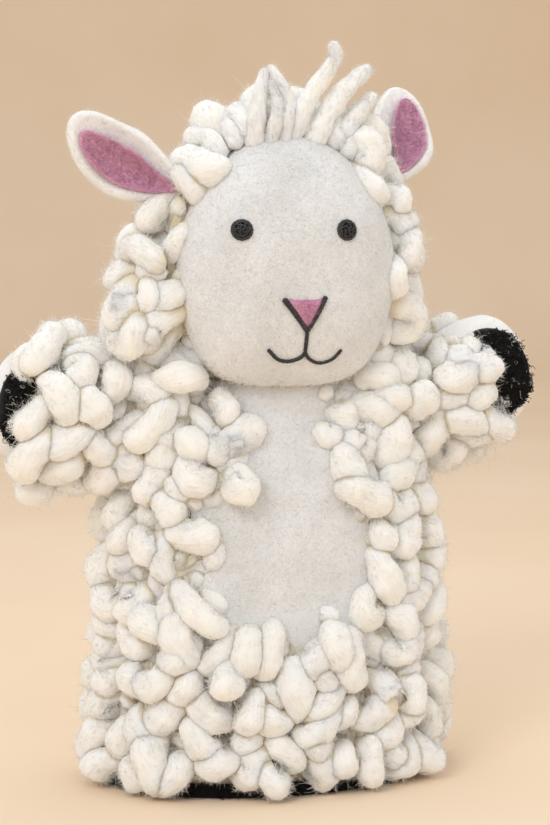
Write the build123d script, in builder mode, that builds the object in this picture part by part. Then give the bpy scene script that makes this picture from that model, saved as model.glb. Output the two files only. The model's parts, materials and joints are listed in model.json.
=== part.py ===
"""Sheep hand puppet: a felt glove with a looped wool fleece, a domed head, two arms and two ears.

Millimetres, +Z up. The puppet looks along -Y, and its own left hand is at +X. The origin is under
the middle of the hem, on the surface that the puppet stands on.
"""
import os
from math import cos, radians, sin

from build123d import *

os.makedirs("parts", exist_ok=True)

# Felt, thread and wool
FELT = 3.0  # thickness of the glove's felt
SEW_GAP = 0.2  # between the felt and what is stitched over it
SWING_GAP = 0.3  # between the nested felt bands that turn in each other
FLEECE = 12.0  # depth of the looped wool on the body
REACH = 400.0  # half size of a cutting box that goes past everything

# Glove: height, half width and half depth of its oval section
GLOVE = [(0, 60, 34), (62, 58, 34), (110, 55, 31), (136, 46, 25), (150, 30, 20)]
HEM_TOP = 5.0
WAIST_LOW = 56.0
WAIST_HIGH = 70.0
TORSO_TOP = 142.0
TUMMY_HALF_WIDTH = 33.0
TUMMY_FELT = 1.5
SIDE_FLEECE_TOP = 92.0
BACK_FLEECE_TOP = 128.0
SEAM_GAP = 0.5  # half the slit between the front and back felt
STITCH_RADIUS = 0.45

# Neck: nested spherical bands about one point
NECK = (0, 0, 152)
NECK_OPENING = 22.0
BAND = 2.5
LOWER_BAND_SPAN = (-10.0, 7.0)
UPPER_BAND_SPAN = (-11.0, 5.0)
POCKET_BORE = 10.5
POCKET_OUTER = 13.0
POCKET_MOUTH = 144.0
POCKET_END = 205.0

# Head
HEAD = (0, -24, 197)
FACE_RADII = (42, 24, 46)
BACK_RADII = (44, 48, 47)
HEAD_FLEECE_RADII = (64, 62, 60)
CROWN_BOTTOM = 222.0
BACK_LOCK_HALF_WIDTH = 20.0
HEAD_FLEECE_BOTTOM = 172.0
HEAD_SIDE_BOTTOM = 186.0
EYE_SPACING = 38.0
EYE_HEIGHT = 208.0
EYE_DIAMETER = 7.6
EYES_ASIDE = -2.0
MUZZLE_ASIDE = 2.6
NOSE_TOP = 183.4
NOSE_TIP = 172.9
NOSE_WIDTH = 16.4
MOUTH_HEIGHT = 164.8
MOUTH_WIDTH = 27.0
MOUTH_DIP = 4.0
FEATURE_THREAD = 1.5

# Shoulders and arms: the arm's own frame has +X along the arm
SHOULDER_X = 42.0
SHOULDER_Z = 137.0
ARMHOLE = 21.0
GUSSET_OUTER = 20.7
GUSSET_INNER_END = -13.0
ARM_ROOT = 18.0
ARM_RISE = {"left": 20.0, "right": 8.0}
ARM_SECTIONS = [(10, 12, 14), (24, 13, 16.5), (42, 13, 21), (50, 12.5, 20.5)]
ARM_END_X = 50.0
ARM_END_RADII = (15, 12.5, 20.5)
ARM_MOUTH = -8.0
SLEEVE_FROM = 18.0
SLEEVE_TO = 48.0
SLEEVE_HALF_DEPTH = 23.0
SLEEVE_HALF_HEIGHT = 25.0
HOOF_CENTER = 47.0
HOOF_RADII = (15.5, 18.0)
HOOF_PAD = 2.2

# Ears: root, tip and the way the hollow faces
EAR_ROOT = {"left": (44, -18, 225), "right": (-36, -20, 221)}
EAR_TIP = {"left": (56, 11, 261), "right": (-79, -22, 245)}
EAR_FACING = {"left": (0, -1, 0.1), "right": (0.05, -1, -0.1)}
EAR_HALF_WIDTH = 12.0
EAR_DEPTH = 9.0
EAR_FELT = 3.5
EAR_LINING = 1.5
EAR_ROOM = 4.5  # room round an ear's root in the fleece, for the ear to flop

# Forelock: loose strands from one knot in the crown
FORELOCK = (8, -14, 254)
FORELOCK_ROOM = 7.5
KNOT_RADIUS = 3.4
STRAND_RADIUS = 2.0
STRANDS = [  # middle and tip of each strand
    ((7, -20, 267), (12, -31, 273.5)),
    ((17, -16, 266), (31, -19, 264)),
    ((3, -15, 265), (-9, -23, 263)),
    ((12, -8, 266), (22, -1, 265)),
]

SIDES = {"left": 1, "right": -1}


def save(piece, name):
    """Label a finished piece and write its STEP file."""
    piece.part.label = name
    export_step(piece.part, f"parts/{name}.step")


def zone(x=(-REACH, REACH), y=(-REACH, REACH), z=(-REACH, REACH)):
    """Box between two corners, used to keep or cut away a region."""
    middle = [(low + high) / 2 for low, high in (x, y, z)]
    with BuildPart() as made:
        with Locations(tuple(middle)):
            Box(x[1] - x[0], y[1] - y[0], z[1] - z[0])
    return made.part


def ball(center, radius):
    with BuildPart() as made:
        with Locations(center):
            Sphere(radius)
    return made.part


def ellipsoid(center, radii, grow=0.0):
    """Ellipsoid with every radius changed by grow."""
    base = 10.0
    with BuildPart() as made:
        Sphere(base)
        scale(by=tuple((radius + grow) / base for radius in radii), mode=Mode.REPLACE)
    return made.part.moved(Location(center))


def glove(grow):
    """Glove's outline from hem to neck, grown outward by grow."""
    with BuildPart() as made:
        for height, half_width, half_depth in GLOVE:
            with BuildSketch(Plane.XY.offset(height)):
                Ellipse(half_width + grow, half_depth + grow)
        loft()
    return made.part


def glove_layer(inner, outer, keep):
    """Layer of the glove between two offsets, inside the region keep."""
    with BuildPart() as made:
        add(glove(outer))
        add(glove(inner), mode=Mode.SUBTRACT)
        add(keep, mode=Mode.INTERSECT)
    return made.part


def dome(radii, grow, front):
    """Solid half of an ellipsoid about the head's middle, before or behind the face's rim."""
    rim = HEAD[1]
    keep = zone(y=(-REACH, rim)) if front else zone(y=(rim, REACH))
    with BuildPart() as made:
        add(ellipsoid(HEAD, radii, grow))
        add(keep, mode=Mode.INTERSECT)
    return made.part


def neck_room():
    """Ball that the head and the torso leave free for the neck."""
    return ball(NECK, NECK_OPENING + SWING_GAP)


# ---------------------------------------------------------------- cuff: lower part of the glove
with BuildPart() as hem_binding:
    add(glove_layer(-FELT - 1.0, 1.5, zone(z=(0, HEM_TOP))))
save(hem_binding, "hem_binding")

for name, y_range in (("front", (-REACH, -SEAM_GAP)), ("back", (SEAM_GAP, REACH))):
    with BuildPart() as cuff_panel:
        add(glove_layer(-FELT, 0, zone(y=y_range, z=(HEM_TOP, WAIST_LOW))))
    save(cuff_panel, f"cuff_{name}_panel")

    with BuildPart() as cuff_fleece:
        add(glove_layer(SEW_GAP, SEW_GAP + FLEECE, zone(y=y_range, z=(HEM_TOP + 1, WAIST_LOW - 2))))
        add(glove_layer(SEW_GAP, SEW_GAP + 2, zone(z=(0, HEM_TOP + 2))), mode=Mode.SUBTRACT)
    save(cuff_fleece, f"cuff_fleece_{name}")


def seam_stitches(low, high, step=6.0):
    """Short threads across both side seams, at half the felt's thickness."""
    with BuildPart() as made:
        height = low
        while height < high:
            lower = max(section for section in GLOVE if section[0] <= height)
            upper = min(section for section in GLOVE if section[0] > height)
            share = (height - lower[0]) / (upper[0] - lower[0])
            edge = lower[1] + share * (upper[1] - lower[1]) - FELT / 2
            with Locations((-edge, 0, height), (edge, 0, height)):
                Cylinder(STITCH_RADIUS, 2 * SEAM_GAP, rotation=(90, 0, 0))
            height += step
    return made.part


with BuildPart() as cuff_seam_stitches:
    add(seam_stitches(HEM_TOP + 5, WAIST_LOW - 4))
save(cuff_seam_stitches, "cuff_seam_stitches")

# ---------------------------------------------------------------- waist: the felt that folds
with BuildPart() as waist_sleeve:
    add(glove_layer(-FELT, 0, zone(z=(WAIST_LOW, WAIST_HIGH))))
save(waist_sleeve, "waist_sleeve")

# ---------------------------------------------------------------- torso: upper part of the glove
with BuildPart() as torso_openings:
    add(neck_room())
    for sign in SIDES.values():
        add(ball((sign * SHOULDER_X, 0, SHOULDER_Z), ARMHOLE))

for name, y_range in (("front", (-REACH, -SEAM_GAP)), ("back", (SEAM_GAP, REACH))):
    with BuildPart() as torso_panel:
        add(glove_layer(-FELT, 0, zone(y=y_range, z=(WAIST_HIGH, TORSO_TOP))))
        add(torso_openings.part, mode=Mode.SUBTRACT)
    save(torso_panel, f"torso_{name}_panel")

with BuildPart() as torso_seam_stitches:
    add(seam_stitches(WAIST_HIGH + 4, SHOULDER_Z - ARMHOLE - 4))
save(torso_seam_stitches, "torso_seam_stitches")

tummy_zone = zone(
    x=(-TUMMY_HALF_WIDTH, TUMMY_HALF_WIDTH), y=(-REACH, 0), z=(WAIST_HIGH + 1, TORSO_TOP - 2)
)
with BuildPart() as tummy_panel:
    add(glove_layer(SEW_GAP, SEW_GAP + TUMMY_FELT, tummy_zone))
    add(torso_openings.part, mode=Mode.SUBTRACT)
save(tummy_panel, "tummy_panel")

beside_tummy = TUMMY_HALF_WIDTH + SEW_GAP
torso_fleece_zones = {
    "left": zone(x=(beside_tummy, REACH), z=(WAIST_HIGH + 1, SIDE_FLEECE_TOP)),
    "right": zone(x=(-REACH, -beside_tummy), z=(WAIST_HIGH + 1, SIDE_FLEECE_TOP)),
    "back": zone(x=(-beside_tummy, beside_tummy), y=(0, REACH), z=(WAIST_HIGH + 1, BACK_FLEECE_TOP)),
}
for name, keep in torso_fleece_zones.items():
    with BuildPart() as torso_fleece:
        add(glove_layer(SEW_GAP, SEW_GAP + FLEECE, keep))
    save(torso_fleece, f"torso_fleece_{name}")


# ---------------------------------------------------------------- neck: two nested felt bands
def neck_band(outer, span):
    """Spherical band about the neck's middle, between two heights."""
    with BuildPart() as made:
        add(ball(NECK, outer))
        add(ball(NECK, outer - BAND), mode=Mode.SUBTRACT)
        add(zone(z=(NECK[2] + span[0], NECK[2] + span[1])), mode=Mode.INTERSECT)
    return made.part


lower_band_outer = NECK_OPENING - SWING_GAP
with BuildPart() as neck_sleeve_lower:
    add(neck_band(lower_band_outer, LOWER_BAND_SPAN))
save(neck_sleeve_lower, "neck_sleeve_lower")

with BuildPart() as neck_sleeve_upper:
    add(neck_band(lower_band_outer - BAND - SWING_GAP, UPPER_BAND_SPAN))
save(neck_sleeve_upper, "neck_sleeve_upper")

# ---------------------------------------------------------------- head: pocket, shell and stuffing
with BuildPart() as head_finger_pocket:
    with BuildSketch(Plane.XY.offset(POCKET_MOUTH)):
        Circle(POCKET_OUTER)
    extrude(amount=POCKET_END + FELT - POCKET_MOUTH)
    with BuildSketch(Plane.XY.offset(POCKET_MOUTH)):
        Circle(POCKET_BORE)
    extrude(amount=POCKET_END - POCKET_MOUTH, mode=Mode.SUBTRACT)
save(head_finger_pocket, "head_finger_pocket")

with BuildPart() as face_panel:
    add(dome(FACE_RADII, 0, front=True))
    add(ellipsoid(HEAD, FACE_RADII, -FELT), mode=Mode.SUBTRACT)
    add(neck_room(), mode=Mode.SUBTRACT)
save(face_panel, "face_panel")

with BuildPart() as pocket_room:
    with BuildSketch(Plane.XY.offset(POCKET_MOUTH - 1)):
        Circle(POCKET_OUTER + SEW_GAP)
    extrude(amount=POCKET_END + FELT + SEW_GAP + 1 - POCKET_MOUTH)

with BuildPart() as head_back_panel:
    add(dome(BACK_RADII, 0, front=False))
    add(ellipsoid(HEAD, BACK_RADII, -FELT), mode=Mode.SUBTRACT)
    add(neck_room(), mode=Mode.SUBTRACT)
    add(pocket_room.part, mode=Mode.SUBTRACT)
save(head_back_panel, "head_back_panel")

with BuildPart() as head_stuffing:
    add(dome(FACE_RADII, -FELT - SEW_GAP, front=True))
    add(dome(BACK_RADII, -FELT - SEW_GAP, front=False))
    add(neck_room(), mode=Mode.SUBTRACT)
    add(pocket_room.part, mode=Mode.SUBTRACT)
save(head_stuffing, "head_stuffing")


# ---------------------------------------------------------------- face: needle-felted and stitched
def on_face(outline, height, sunk=0.05):
    """Outline pushed back onto the face, as a raised layer of the given height."""
    with BuildPart() as made:
        add(dome(FACE_RADII, height, front=True))
        add(ellipsoid(HEAD, FACE_RADII, sunk), mode=Mode.SUBTRACT)
        add(outline, mode=Mode.INTERSECT)
    return made.part


def pushed_back(sketch):
    """Solid behind a sketch drawn in front of the face, as deep as the head."""
    return extrude(sketch, amount=60, dir=(0, 1, 0), mode=Mode.PRIVATE)


front_plane = Plane(origin=(0, -70, 0), x_dir=(1, 0, 0), z_dir=(0, -1, 0))

for side, sign in SIDES.items():
    with BuildSketch(front_plane) as eye_outline:
        with Locations((EYES_ASIDE + sign * EYE_SPACING / 2, EYE_HEIGHT)):
            Circle(EYE_DIAMETER / 2)
    with BuildPart() as eye:
        add(on_face(pushed_back(eye_outline.sketch), 1.6))
    save(eye, f"eye_{side}")

with BuildSketch(front_plane) as nose_outline:
    with BuildLine():
        Polyline(
            (MUZZLE_ASIDE - NOSE_WIDTH / 2, NOSE_TOP),
            (MUZZLE_ASIDE + NOSE_WIDTH / 2, NOSE_TOP),
            (MUZZLE_ASIDE, NOSE_TIP + 1.2),
            close=True,
        )
    make_face()
    fillet(nose_outline.vertices(), 1.5)
with BuildPart() as nose_patch:
    add(on_face(pushed_back(nose_outline.sketch), 2.2))
save(nose_patch, "nose_patch")

with BuildSketch(front_plane) as nose_thread_outline:
    with BuildLine() as nose_thread_path:
        Polyline(
            (MUZZLE_ASIDE - NOSE_WIDTH / 2, NOSE_TOP),
            (MUZZLE_ASIDE, NOSE_TIP),
            (MUZZLE_ASIDE + NOSE_WIDTH / 2, NOSE_TOP),
        )
    trace(nose_thread_path.line, FEATURE_THREAD)
    add(nose_outline.sketch, mode=Mode.SUBTRACT)
with BuildPart() as nose_stitch:
    add(on_face(pushed_back(nose_thread_outline.sketch), 1.2))
save(nose_stitch, "nose_stitch")

with BuildSketch(front_plane) as mouth_outline:
    with BuildLine() as mouth_path:
        Line((MUZZLE_ASIDE, NOSE_TIP - FEATURE_THREAD), (MUZZLE_ASIDE, MOUTH_HEIGHT))
        for sign in (-1, 1):
            ThreePointArc(
                (MUZZLE_ASIDE, MOUTH_HEIGHT),
                (MUZZLE_ASIDE + sign * MOUTH_WIDTH / 4, MOUTH_HEIGHT - MOUTH_DIP),
                (MUZZLE_ASIDE + sign * MOUTH_WIDTH / 2, MOUTH_HEIGHT),
            )
    trace(mouth_path.edges(), FEATURE_THREAD)
with BuildPart() as mouth_stitch:
    add(on_face(pushed_back(mouth_outline.sketch), 1.0))
save(mouth_stitch, "mouth_stitch")

with BuildPart() as chin_stitches:
    for angle in range(-112, -67, 5):
        place = Plane(
            origin=(
                (FACE_RADII[0] + STITCH_RADIUS + 0.2) * cos(radians(angle)),
                HEAD[1] - 2.4,
                HEAD[2] + (FACE_RADII[2] + STITCH_RADIUS + 0.2) * sin(radians(angle)),
            ),
            z_dir=(0.35, -1, 0),
        )
        with Locations(place):
            Cylinder(STITCH_RADIUS, 3.6)
    add(ellipsoid(HEAD, FACE_RADII, 0.05), mode=Mode.SUBTRACT)
save(chin_stitches, "chin_stitches")


# ---------------------------------------------------------------- ears
def ear_frame(side):
    """Plane at the middle of an ear: +X towards the tip, -Y the way the hollow faces."""
    root = Vector(EAR_ROOT[side])
    tip = Vector(EAR_TIP[side])
    along = (tip - root).normalized()
    facing = Vector(EAR_FACING[side])
    back = (along * along.dot(facing) - facing).normalized()
    return Plane(origin=(root + tip) * 0.5, x_dir=along, z_dir=along.cross(back))


def ear_bowl(side, grow, shift=0.0):
    """Long bowl of an ear with every radius changed by grow, open towards its own -Y."""
    half_length = (Vector(EAR_TIP[side]) - Vector(EAR_ROOT[side])).length / 2
    with BuildPart() as made:
        add(ellipsoid((0, 0, 0), (half_length, EAR_DEPTH, EAR_HALF_WIDTH), grow))
        add(zone(y=(shift, REACH)), mode=Mode.INTERSECT)
    return made.part


with BuildPart() as ear_rooms:
    for side in SIDES:
        add(ear_bowl(side, EAR_ROOM, -EAR_ROOM - 2).moved(ear_frame(side).location))

for side in SIDES:
    placed = ear_frame(side).location
    with BuildPart() as ear:
        add(ear_bowl(side, 0).moved(placed))
        add(ear_bowl(side, -EAR_FELT, -1).moved(placed), mode=Mode.SUBTRACT)
        add(ellipsoid(HEAD, BACK_RADII, 1.2), mode=Mode.SUBTRACT)
    save(ear, f"ear_{side}")

    with BuildPart() as ear_lining:
        add(ear_bowl(side, -EAR_FELT - SEW_GAP, 0.8).moved(placed))
        add(ear_bowl(side, -EAR_FELT - SEW_GAP - EAR_LINING, -1).moved(placed), mode=Mode.SUBTRACT)
        add(ellipsoid(HEAD, BACK_RADII, 1.6), mode=Mode.SUBTRACT)
    save(ear_lining, f"ear_lining_{side}")

# ---------------------------------------------------------------- head fleece
with BuildPart() as head_fleece_all:
    add(dome(HEAD_FLEECE_RADII, 0, front=False))
    add(ellipsoid(HEAD, BACK_RADII, SEW_GAP), mode=Mode.SUBTRACT)
    add(ear_rooms.part, mode=Mode.SUBTRACT)
    add(ball(FORELOCK, FORELOCK_ROOM), mode=Mode.SUBTRACT)

head_fleece_zones = {
    "head_fleece_left": zone(x=(BACK_LOCK_HALF_WIDTH, REACH), z=(HEAD_SIDE_BOTTOM, CROWN_BOTTOM)),
    "head_fleece_right": zone(x=(-REACH, -BACK_LOCK_HALF_WIDTH), z=(HEAD_SIDE_BOTTOM, CROWN_BOTTOM)),
    "head_fleece_back": zone(
        x=(-BACK_LOCK_HALF_WIDTH, BACK_LOCK_HALF_WIDTH), y=(0, REACH), z=(HEAD_FLEECE_BOTTOM, CROWN_BOTTOM)
    ),
    "crown_fleece": zone(z=(CROWN_BOTTOM, REACH)),
}
for name, keep in head_fleece_zones.items():
    with BuildPart() as head_fleece:
        add(head_fleece_all.part)
        add(keep, mode=Mode.INTERSECT)
    save(head_fleece, name)

# ---------------------------------------------------------------- forelock
with BuildPart() as forelock_strands:
    add(ball(FORELOCK, KNOT_RADIUS))
    for middle, tip in STRANDS:
        with BuildLine() as strand_path:
            ThreePointArc(FORELOCK, middle, tip)
        with BuildSketch(Plane(origin=FORELOCK, z_dir=strand_path.line % 0)):
            Circle(STRAND_RADIUS)
        sweep(path=strand_path.line)
save(forelock_strands, "forelock_strands")


# ---------------------------------------------------------------- arms
def arm_body(grow):
    """Solid arm in its own frame: round root, oval sleeve and round end."""
    with BuildPart() as made:
        for x, half_depth, half_height in ARM_SECTIONS:
            with BuildSketch(Plane.YZ.offset(x)):
                Ellipse(half_depth + grow, half_height + grow)
        loft()
        add(ball((0, 0, 0), ARM_ROOT + grow))
        add(ellipsoid((ARM_END_X, 0, 0), ARM_END_RADII, grow))
    return made.part


def on_side(part, side):
    """Part made in the arm's own frame, put on the left or the right shoulder at its rest rise."""
    sign = SIDES[side]
    own = part if sign > 0 else part.mirror(Plane.YZ)
    return own.moved(Location((sign * SHOULDER_X, 0, SHOULDER_Z), (0, -sign * ARM_RISE[side], 0)))


with BuildPart() as gusset_shape:
    add(ball((0, 0, 0), GUSSET_OUTER))
    add(ball((0, 0, 0), ARM_ROOT + SWING_GAP), mode=Mode.SUBTRACT)
    add(zone(x=(GUSSET_INNER_END, 0)), mode=Mode.INTERSECT)

with BuildPart() as arm_wall:
    add(arm_body(0))
    add(arm_body(-FELT), mode=Mode.SUBTRACT)
    add(zone(x=(ARM_MOUTH, REACH)), mode=Mode.INTERSECT)

arm_panel_shapes = {}
for name, y_range in (("front", (-REACH, -SEAM_GAP / 2)), ("back", (SEAM_GAP / 2, REACH))):
    with BuildPart() as arm_panel_shape:
        add(arm_wall.part)
        add(zone(y=y_range), mode=Mode.INTERSECT)
    arm_panel_shapes[name] = arm_panel_shape.part

with BuildPart() as hoof_column:
    with BuildSketch(Plane.XZ):
        with Locations((HOOF_CENTER, 0)):
            Ellipse(*HOOF_RADII)
    extrude(amount=40)

with BuildPart() as hoof_shape:
    add(arm_body(SEW_GAP + HOOF_PAD))
    add(arm_body(SEW_GAP), mode=Mode.SUBTRACT)
    add(hoof_column.part, mode=Mode.INTERSECT)

with BuildPart() as sleeve_shape:
    with BuildSketch(Plane.YZ.offset(SLEEVE_FROM)):
        Ellipse(SLEEVE_HALF_DEPTH, SLEEVE_HALF_HEIGHT)
    extrude(amount=SLEEVE_TO - SLEEVE_FROM)
    add(arm_body(SEW_GAP), mode=Mode.SUBTRACT)
    add(hoof_shape.part, mode=Mode.SUBTRACT)

for side in SIDES:
    with BuildPart() as shoulder_gusset:
        add(on_side(gusset_shape.part, side))
    save(shoulder_gusset, f"shoulder_gusset_{side}")

    for name, shape in arm_panel_shapes.items():
        with BuildPart() as arm_panel:
            add(on_side(shape, side))
        save(arm_panel, f"arm_{name}_panel_{side}")

    with BuildPart() as hoof_pad:
        add(on_side(hoof_shape.part, side))
    save(hoof_pad, f"hoof_pad_{side}")

    with BuildPart() as arm_fleece:
        add(on_side(sleeve_shape.part, side))
    save(arm_fleece, f"arm_fleece_{side}")
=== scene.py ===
"""The looks of a sheep hand puppet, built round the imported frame.

Shapes are worked out in millimetres and go into Blender in metres. The wool is real geometry: fat
loops of roving, and fine stray fibres on everything that is made of wool.
"""
import json
from math import atan, cos, pi, radians, sin

import bpy
import numpy as np
from mathutils.bvhtree import BVHTree
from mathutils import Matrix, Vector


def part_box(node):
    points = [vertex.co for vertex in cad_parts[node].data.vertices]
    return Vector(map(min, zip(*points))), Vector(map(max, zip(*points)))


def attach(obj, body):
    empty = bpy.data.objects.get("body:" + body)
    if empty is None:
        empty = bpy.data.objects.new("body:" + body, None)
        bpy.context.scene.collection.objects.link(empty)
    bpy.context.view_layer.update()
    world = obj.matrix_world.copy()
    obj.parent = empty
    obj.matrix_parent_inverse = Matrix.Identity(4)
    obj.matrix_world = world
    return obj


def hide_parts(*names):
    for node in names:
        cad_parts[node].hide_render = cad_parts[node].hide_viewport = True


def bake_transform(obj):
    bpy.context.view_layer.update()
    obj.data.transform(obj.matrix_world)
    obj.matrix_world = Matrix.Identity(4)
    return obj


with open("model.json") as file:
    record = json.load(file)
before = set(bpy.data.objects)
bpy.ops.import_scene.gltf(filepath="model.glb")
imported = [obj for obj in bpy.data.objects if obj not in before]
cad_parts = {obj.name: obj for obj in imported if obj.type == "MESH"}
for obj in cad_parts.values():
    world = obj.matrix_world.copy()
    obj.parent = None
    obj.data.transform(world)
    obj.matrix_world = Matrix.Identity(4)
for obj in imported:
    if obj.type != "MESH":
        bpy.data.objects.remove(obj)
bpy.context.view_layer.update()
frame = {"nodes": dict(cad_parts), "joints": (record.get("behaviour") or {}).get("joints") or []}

MM = 0.001
YARN_RUN = 900.0  # how far along the yarn, in mm, a fibre's texture may start
JOINTS = {joint["name"]: joint for joint in frame["joints"]}


# ================================================================ vectors and noise
def unit(vectors):
    """Vectors along the last axis, at length 1."""
    length = np.linalg.norm(vectors, axis=-1, keepdims=True)
    return vectors / np.maximum(length, 1e-9)


def dot(first, second):
    return np.sum(first * second, axis=-1, keepdims=True)


def any_side(directions):
    """A unit vector square to each direction."""
    helper = np.where(np.abs(directions[..., 2:3]) < 0.8, [0.0, 0.0, 1.0], [1.0, 0.0, 0.0])
    return unit(np.cross(directions, helper))


def level(angles):
    """Level directions at angles from +X, as rows."""
    return np.stack([np.cos(angles), np.sin(angles), 0 * angles], axis=1)


def box_mm(node):
    """Low and high corners of a CAD node's box, in mm."""
    return tuple(np.array(corner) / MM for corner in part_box(node))


def waves(points, size, rng, count=7):
    """Smooth unevenness from -1 to 1 over points, with bumps of about the given size."""
    total = np.zeros(points.shape[:-1])
    for _ in range(count):
        direction = unit(rng.normal(size=3)) * 2 * pi / (size * rng.uniform(0.7, 1.6))
        total += np.sin(points @ direction + rng.uniform(0, 2 * pi))
    return total / count**0.5 * 0.8


# ================================================================ meshes
def placed(name, data):
    """A new object in the scene."""
    made = bpy.data.objects.new(name, data)
    bpy.context.scene.collection.objects.link(made)
    return made


def new_piece(name, verts, face_groups, material, attributes=None, body=None, replaced=()):
    """Smooth mesh piece from points in mm and arrays of faces with 3 or 4 corners.

    It rides on a body, and stands in the place of the CAD nodes that it replaced."""
    faces = [group for group in face_groups if len(group)]
    corners = np.concatenate([group.ravel() for group in faces]).astype(np.int32)
    counts = np.concatenate([np.full(len(group), group.shape[1]) for group in faces])
    mesh = bpy.data.meshes.new(name)
    mesh.vertices.add(len(verts))
    mesh.vertices.foreach_set("co", (verts * MM).astype(np.float32).ravel())
    mesh.loops.add(len(corners))
    mesh.loops.foreach_set("vertex_index", corners)
    mesh.polygons.add(len(counts))
    starts = np.concatenate([[0], np.cumsum(counts)[:-1]]).astype(np.int32)
    mesh.polygons.foreach_set("loop_start", starts)
    for key, values in (attributes or {}).items():
        kind = "FLOAT_VECTOR" if values.ndim == 2 else "FLOAT"
        layer = mesh.attributes.new(key, kind, "POINT")
        layer.data.foreach_set("vector" if values.ndim == 2 else "value", values.astype(np.float32).ravel())
    mesh.update(calc_edges=True)
    mesh.validate()
    mesh.shade_smooth()
    mesh.materials.append(material)
    piece = placed(name, mesh)
    if body is not None:
        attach(piece, body)
    if len(replaced):
        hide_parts(*replaced)
    return piece


def grid_quads(rows, columns, around=False):
    """Quads between the points of a grid, row after row; around closes the columns into rings."""
    at = np.arange(rows * columns).reshape(rows, columns)
    after = np.roll(at, -1, axis=1)
    if not around:
        at, after = at[:, :-1], after[:, :-1]
    return np.stack([at[:-1], after[:-1], after[1:], at[1:]], axis=-1).reshape(-1, 4)


def quad_normals(corners):
    """Normals of quads given by their corners, as long as twice their areas."""
    return np.cross(corners[:, 2] - corners[:, 0], corners[:, 3] - corners[:, 1])


def picked_on(corners, normals, depth, rng):
    """A random place on each quad, sunk to a depth."""
    weights = rng.dirichlet(np.ones(4), len(corners))
    return np.einsum("nk,nkd->nd", weights, corners) - normals * depth


def lying_on(normals, rng):
    """A random direction square to each normal."""
    lying = rng.normal(size=normals.shape)
    return unit(lying - dot(lying, normals) * normals)


def turned_over(quads):
    """The same quads with the same first corners, facing the other way."""
    return quads[:, [0, 3, 2, 1]]


def fans(first, last, rows, columns, start=0):
    """Triangles that close both ends of a tube: from point first to its first row, and last likewise."""
    low = start + np.arange(columns)
    high = low + (rows - 1) * columns
    return np.concatenate(
        [
            np.stack([np.full(columns, first), np.roll(low, -1), low], axis=1),
            np.stack([np.full(columns, last), high, np.roll(high, -1)], axis=1),
        ]
    )


def repeated(quads, triangles, count, size):
    """Faces of count equal shapes, from the faces of one that has size points."""
    shift = (np.arange(count) * size)[:, None, None]
    return [(quads[None] + shift).reshape(-1, 4), (triangles[None] + shift).reshape(-1, 3)]


def tubes(paths, radii, sides, rng, lobes=0.0, twist=0.0, rough=0.0, round_ends=0.6):
    """Closed tubes along many paths of equal point count, as (points, [quads, triangles], wool map).

    The wool map is a place on the yarn: round it, and along it in mm, so that a texture can run along
    the fibres. Lobes are the ridges of the plies, twist turns them, in radians per mm, and rough makes
    the yarn swell and shrink unevenly."""
    count, rings, _ = paths.shape
    ahead = unit(np.gradient(paths, axis=1))
    normal = np.empty_like(paths)
    normal[:, 0] = any_side(ahead[:, 0])
    for i in range(1, rings):
        last = normal[:, i - 1]
        normal[:, i] = unit(last - dot(last, ahead[:, i]) * ahead[:, i])
    side = np.cross(ahead, normal)
    steps = np.linalg.norm(np.diff(paths, axis=1), axis=2)
    run = np.concatenate([np.zeros((count, 1)), np.cumsum(steps, axis=1)], axis=1)[:, :, None]
    angle = (np.arange(sides) * 2 * pi / sides)[None, None, :]
    turned = angle + twist * run + rng.uniform(0, 2 * pi, (count, 1, 1))
    ridge = 1 + lobes * (np.sin(3 * turned) + 0.6 * np.sin(5 * turned + 1.3 + 0.1 * run))
    radius = radii[:, :, None] * ridge
    spread = np.cos(angle)[..., None] * normal[:, :, None, :] + np.sin(angle)[..., None] * side[:, :, None, :]
    rings_at = paths[:, :, None, :] + radius[..., None] * spread
    if rough:
        uneven = rough * (waves(rings_at, 9, rng) + 0.5 * waves(rings_at, 3.5, rng))
        rings_at += (radius * uneven)[..., None] * spread
    first = paths[:, :1] - ahead[:, :1] * radii[:, :1, None] * round_ends
    last = paths[:, -1:] + ahead[:, -1:] * radii[:, -1:, None] * round_ends
    points = np.concatenate([rings_at.reshape(count, -1, 3), first, last], axis=1)

    size = rings * sides + 2
    quads, triangles = repeated(
        grid_quads(rings, sides, around=True), fans(size - 2, size - 1, rings, sides), count, size
    )

    mean = radii.mean(axis=1)[:, None, None]
    along = run + rng.uniform(0, YARN_RUN, (count, 1, 1)) + 0 * angle
    wool_map = np.stack([mean * np.cos(turned), mean * np.sin(turned), along], axis=-1)
    ends = np.stack([wool_map[:, 0, 0], wool_map[:, -1, 0]], axis=1)
    wool_map = np.concatenate([wool_map.reshape(count, -1, 3), ends], axis=1)
    return points.reshape(-1, 3), [quads, triangles], wool_map.reshape(-1, 3)


def yarn_piece(name, parts, material, body=None, replaced=(), lowest=None):
    """One piece from parts, each (points, faces, wool map, lift); lift is 0 deep in the wool, 1 on top, and
    the wool's finish paints shade where it is low.

    No point is left under the lowest level."""
    points, faces, maps, lifts = zip(*parts)
    starts = np.cumsum([0] + [len(part_points) for part_points in points])
    groups = [np.concatenate([part[kind] + start for part, start in zip(faces, starts)]) for kind in (0, 1)]
    lifts = [np.broadcast_to(lift, len(part_points)) for lift, part_points in zip(lifts, points)]
    attributes = {"fibre": np.concatenate(maps), "lift": np.concatenate(lifts)}
    points = np.concatenate(points)
    if lowest is not None:
        points[:, 2] = np.maximum(points[:, 2], lowest)
    return new_piece(name, points, groups, material, attributes, body, replaced)


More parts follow.
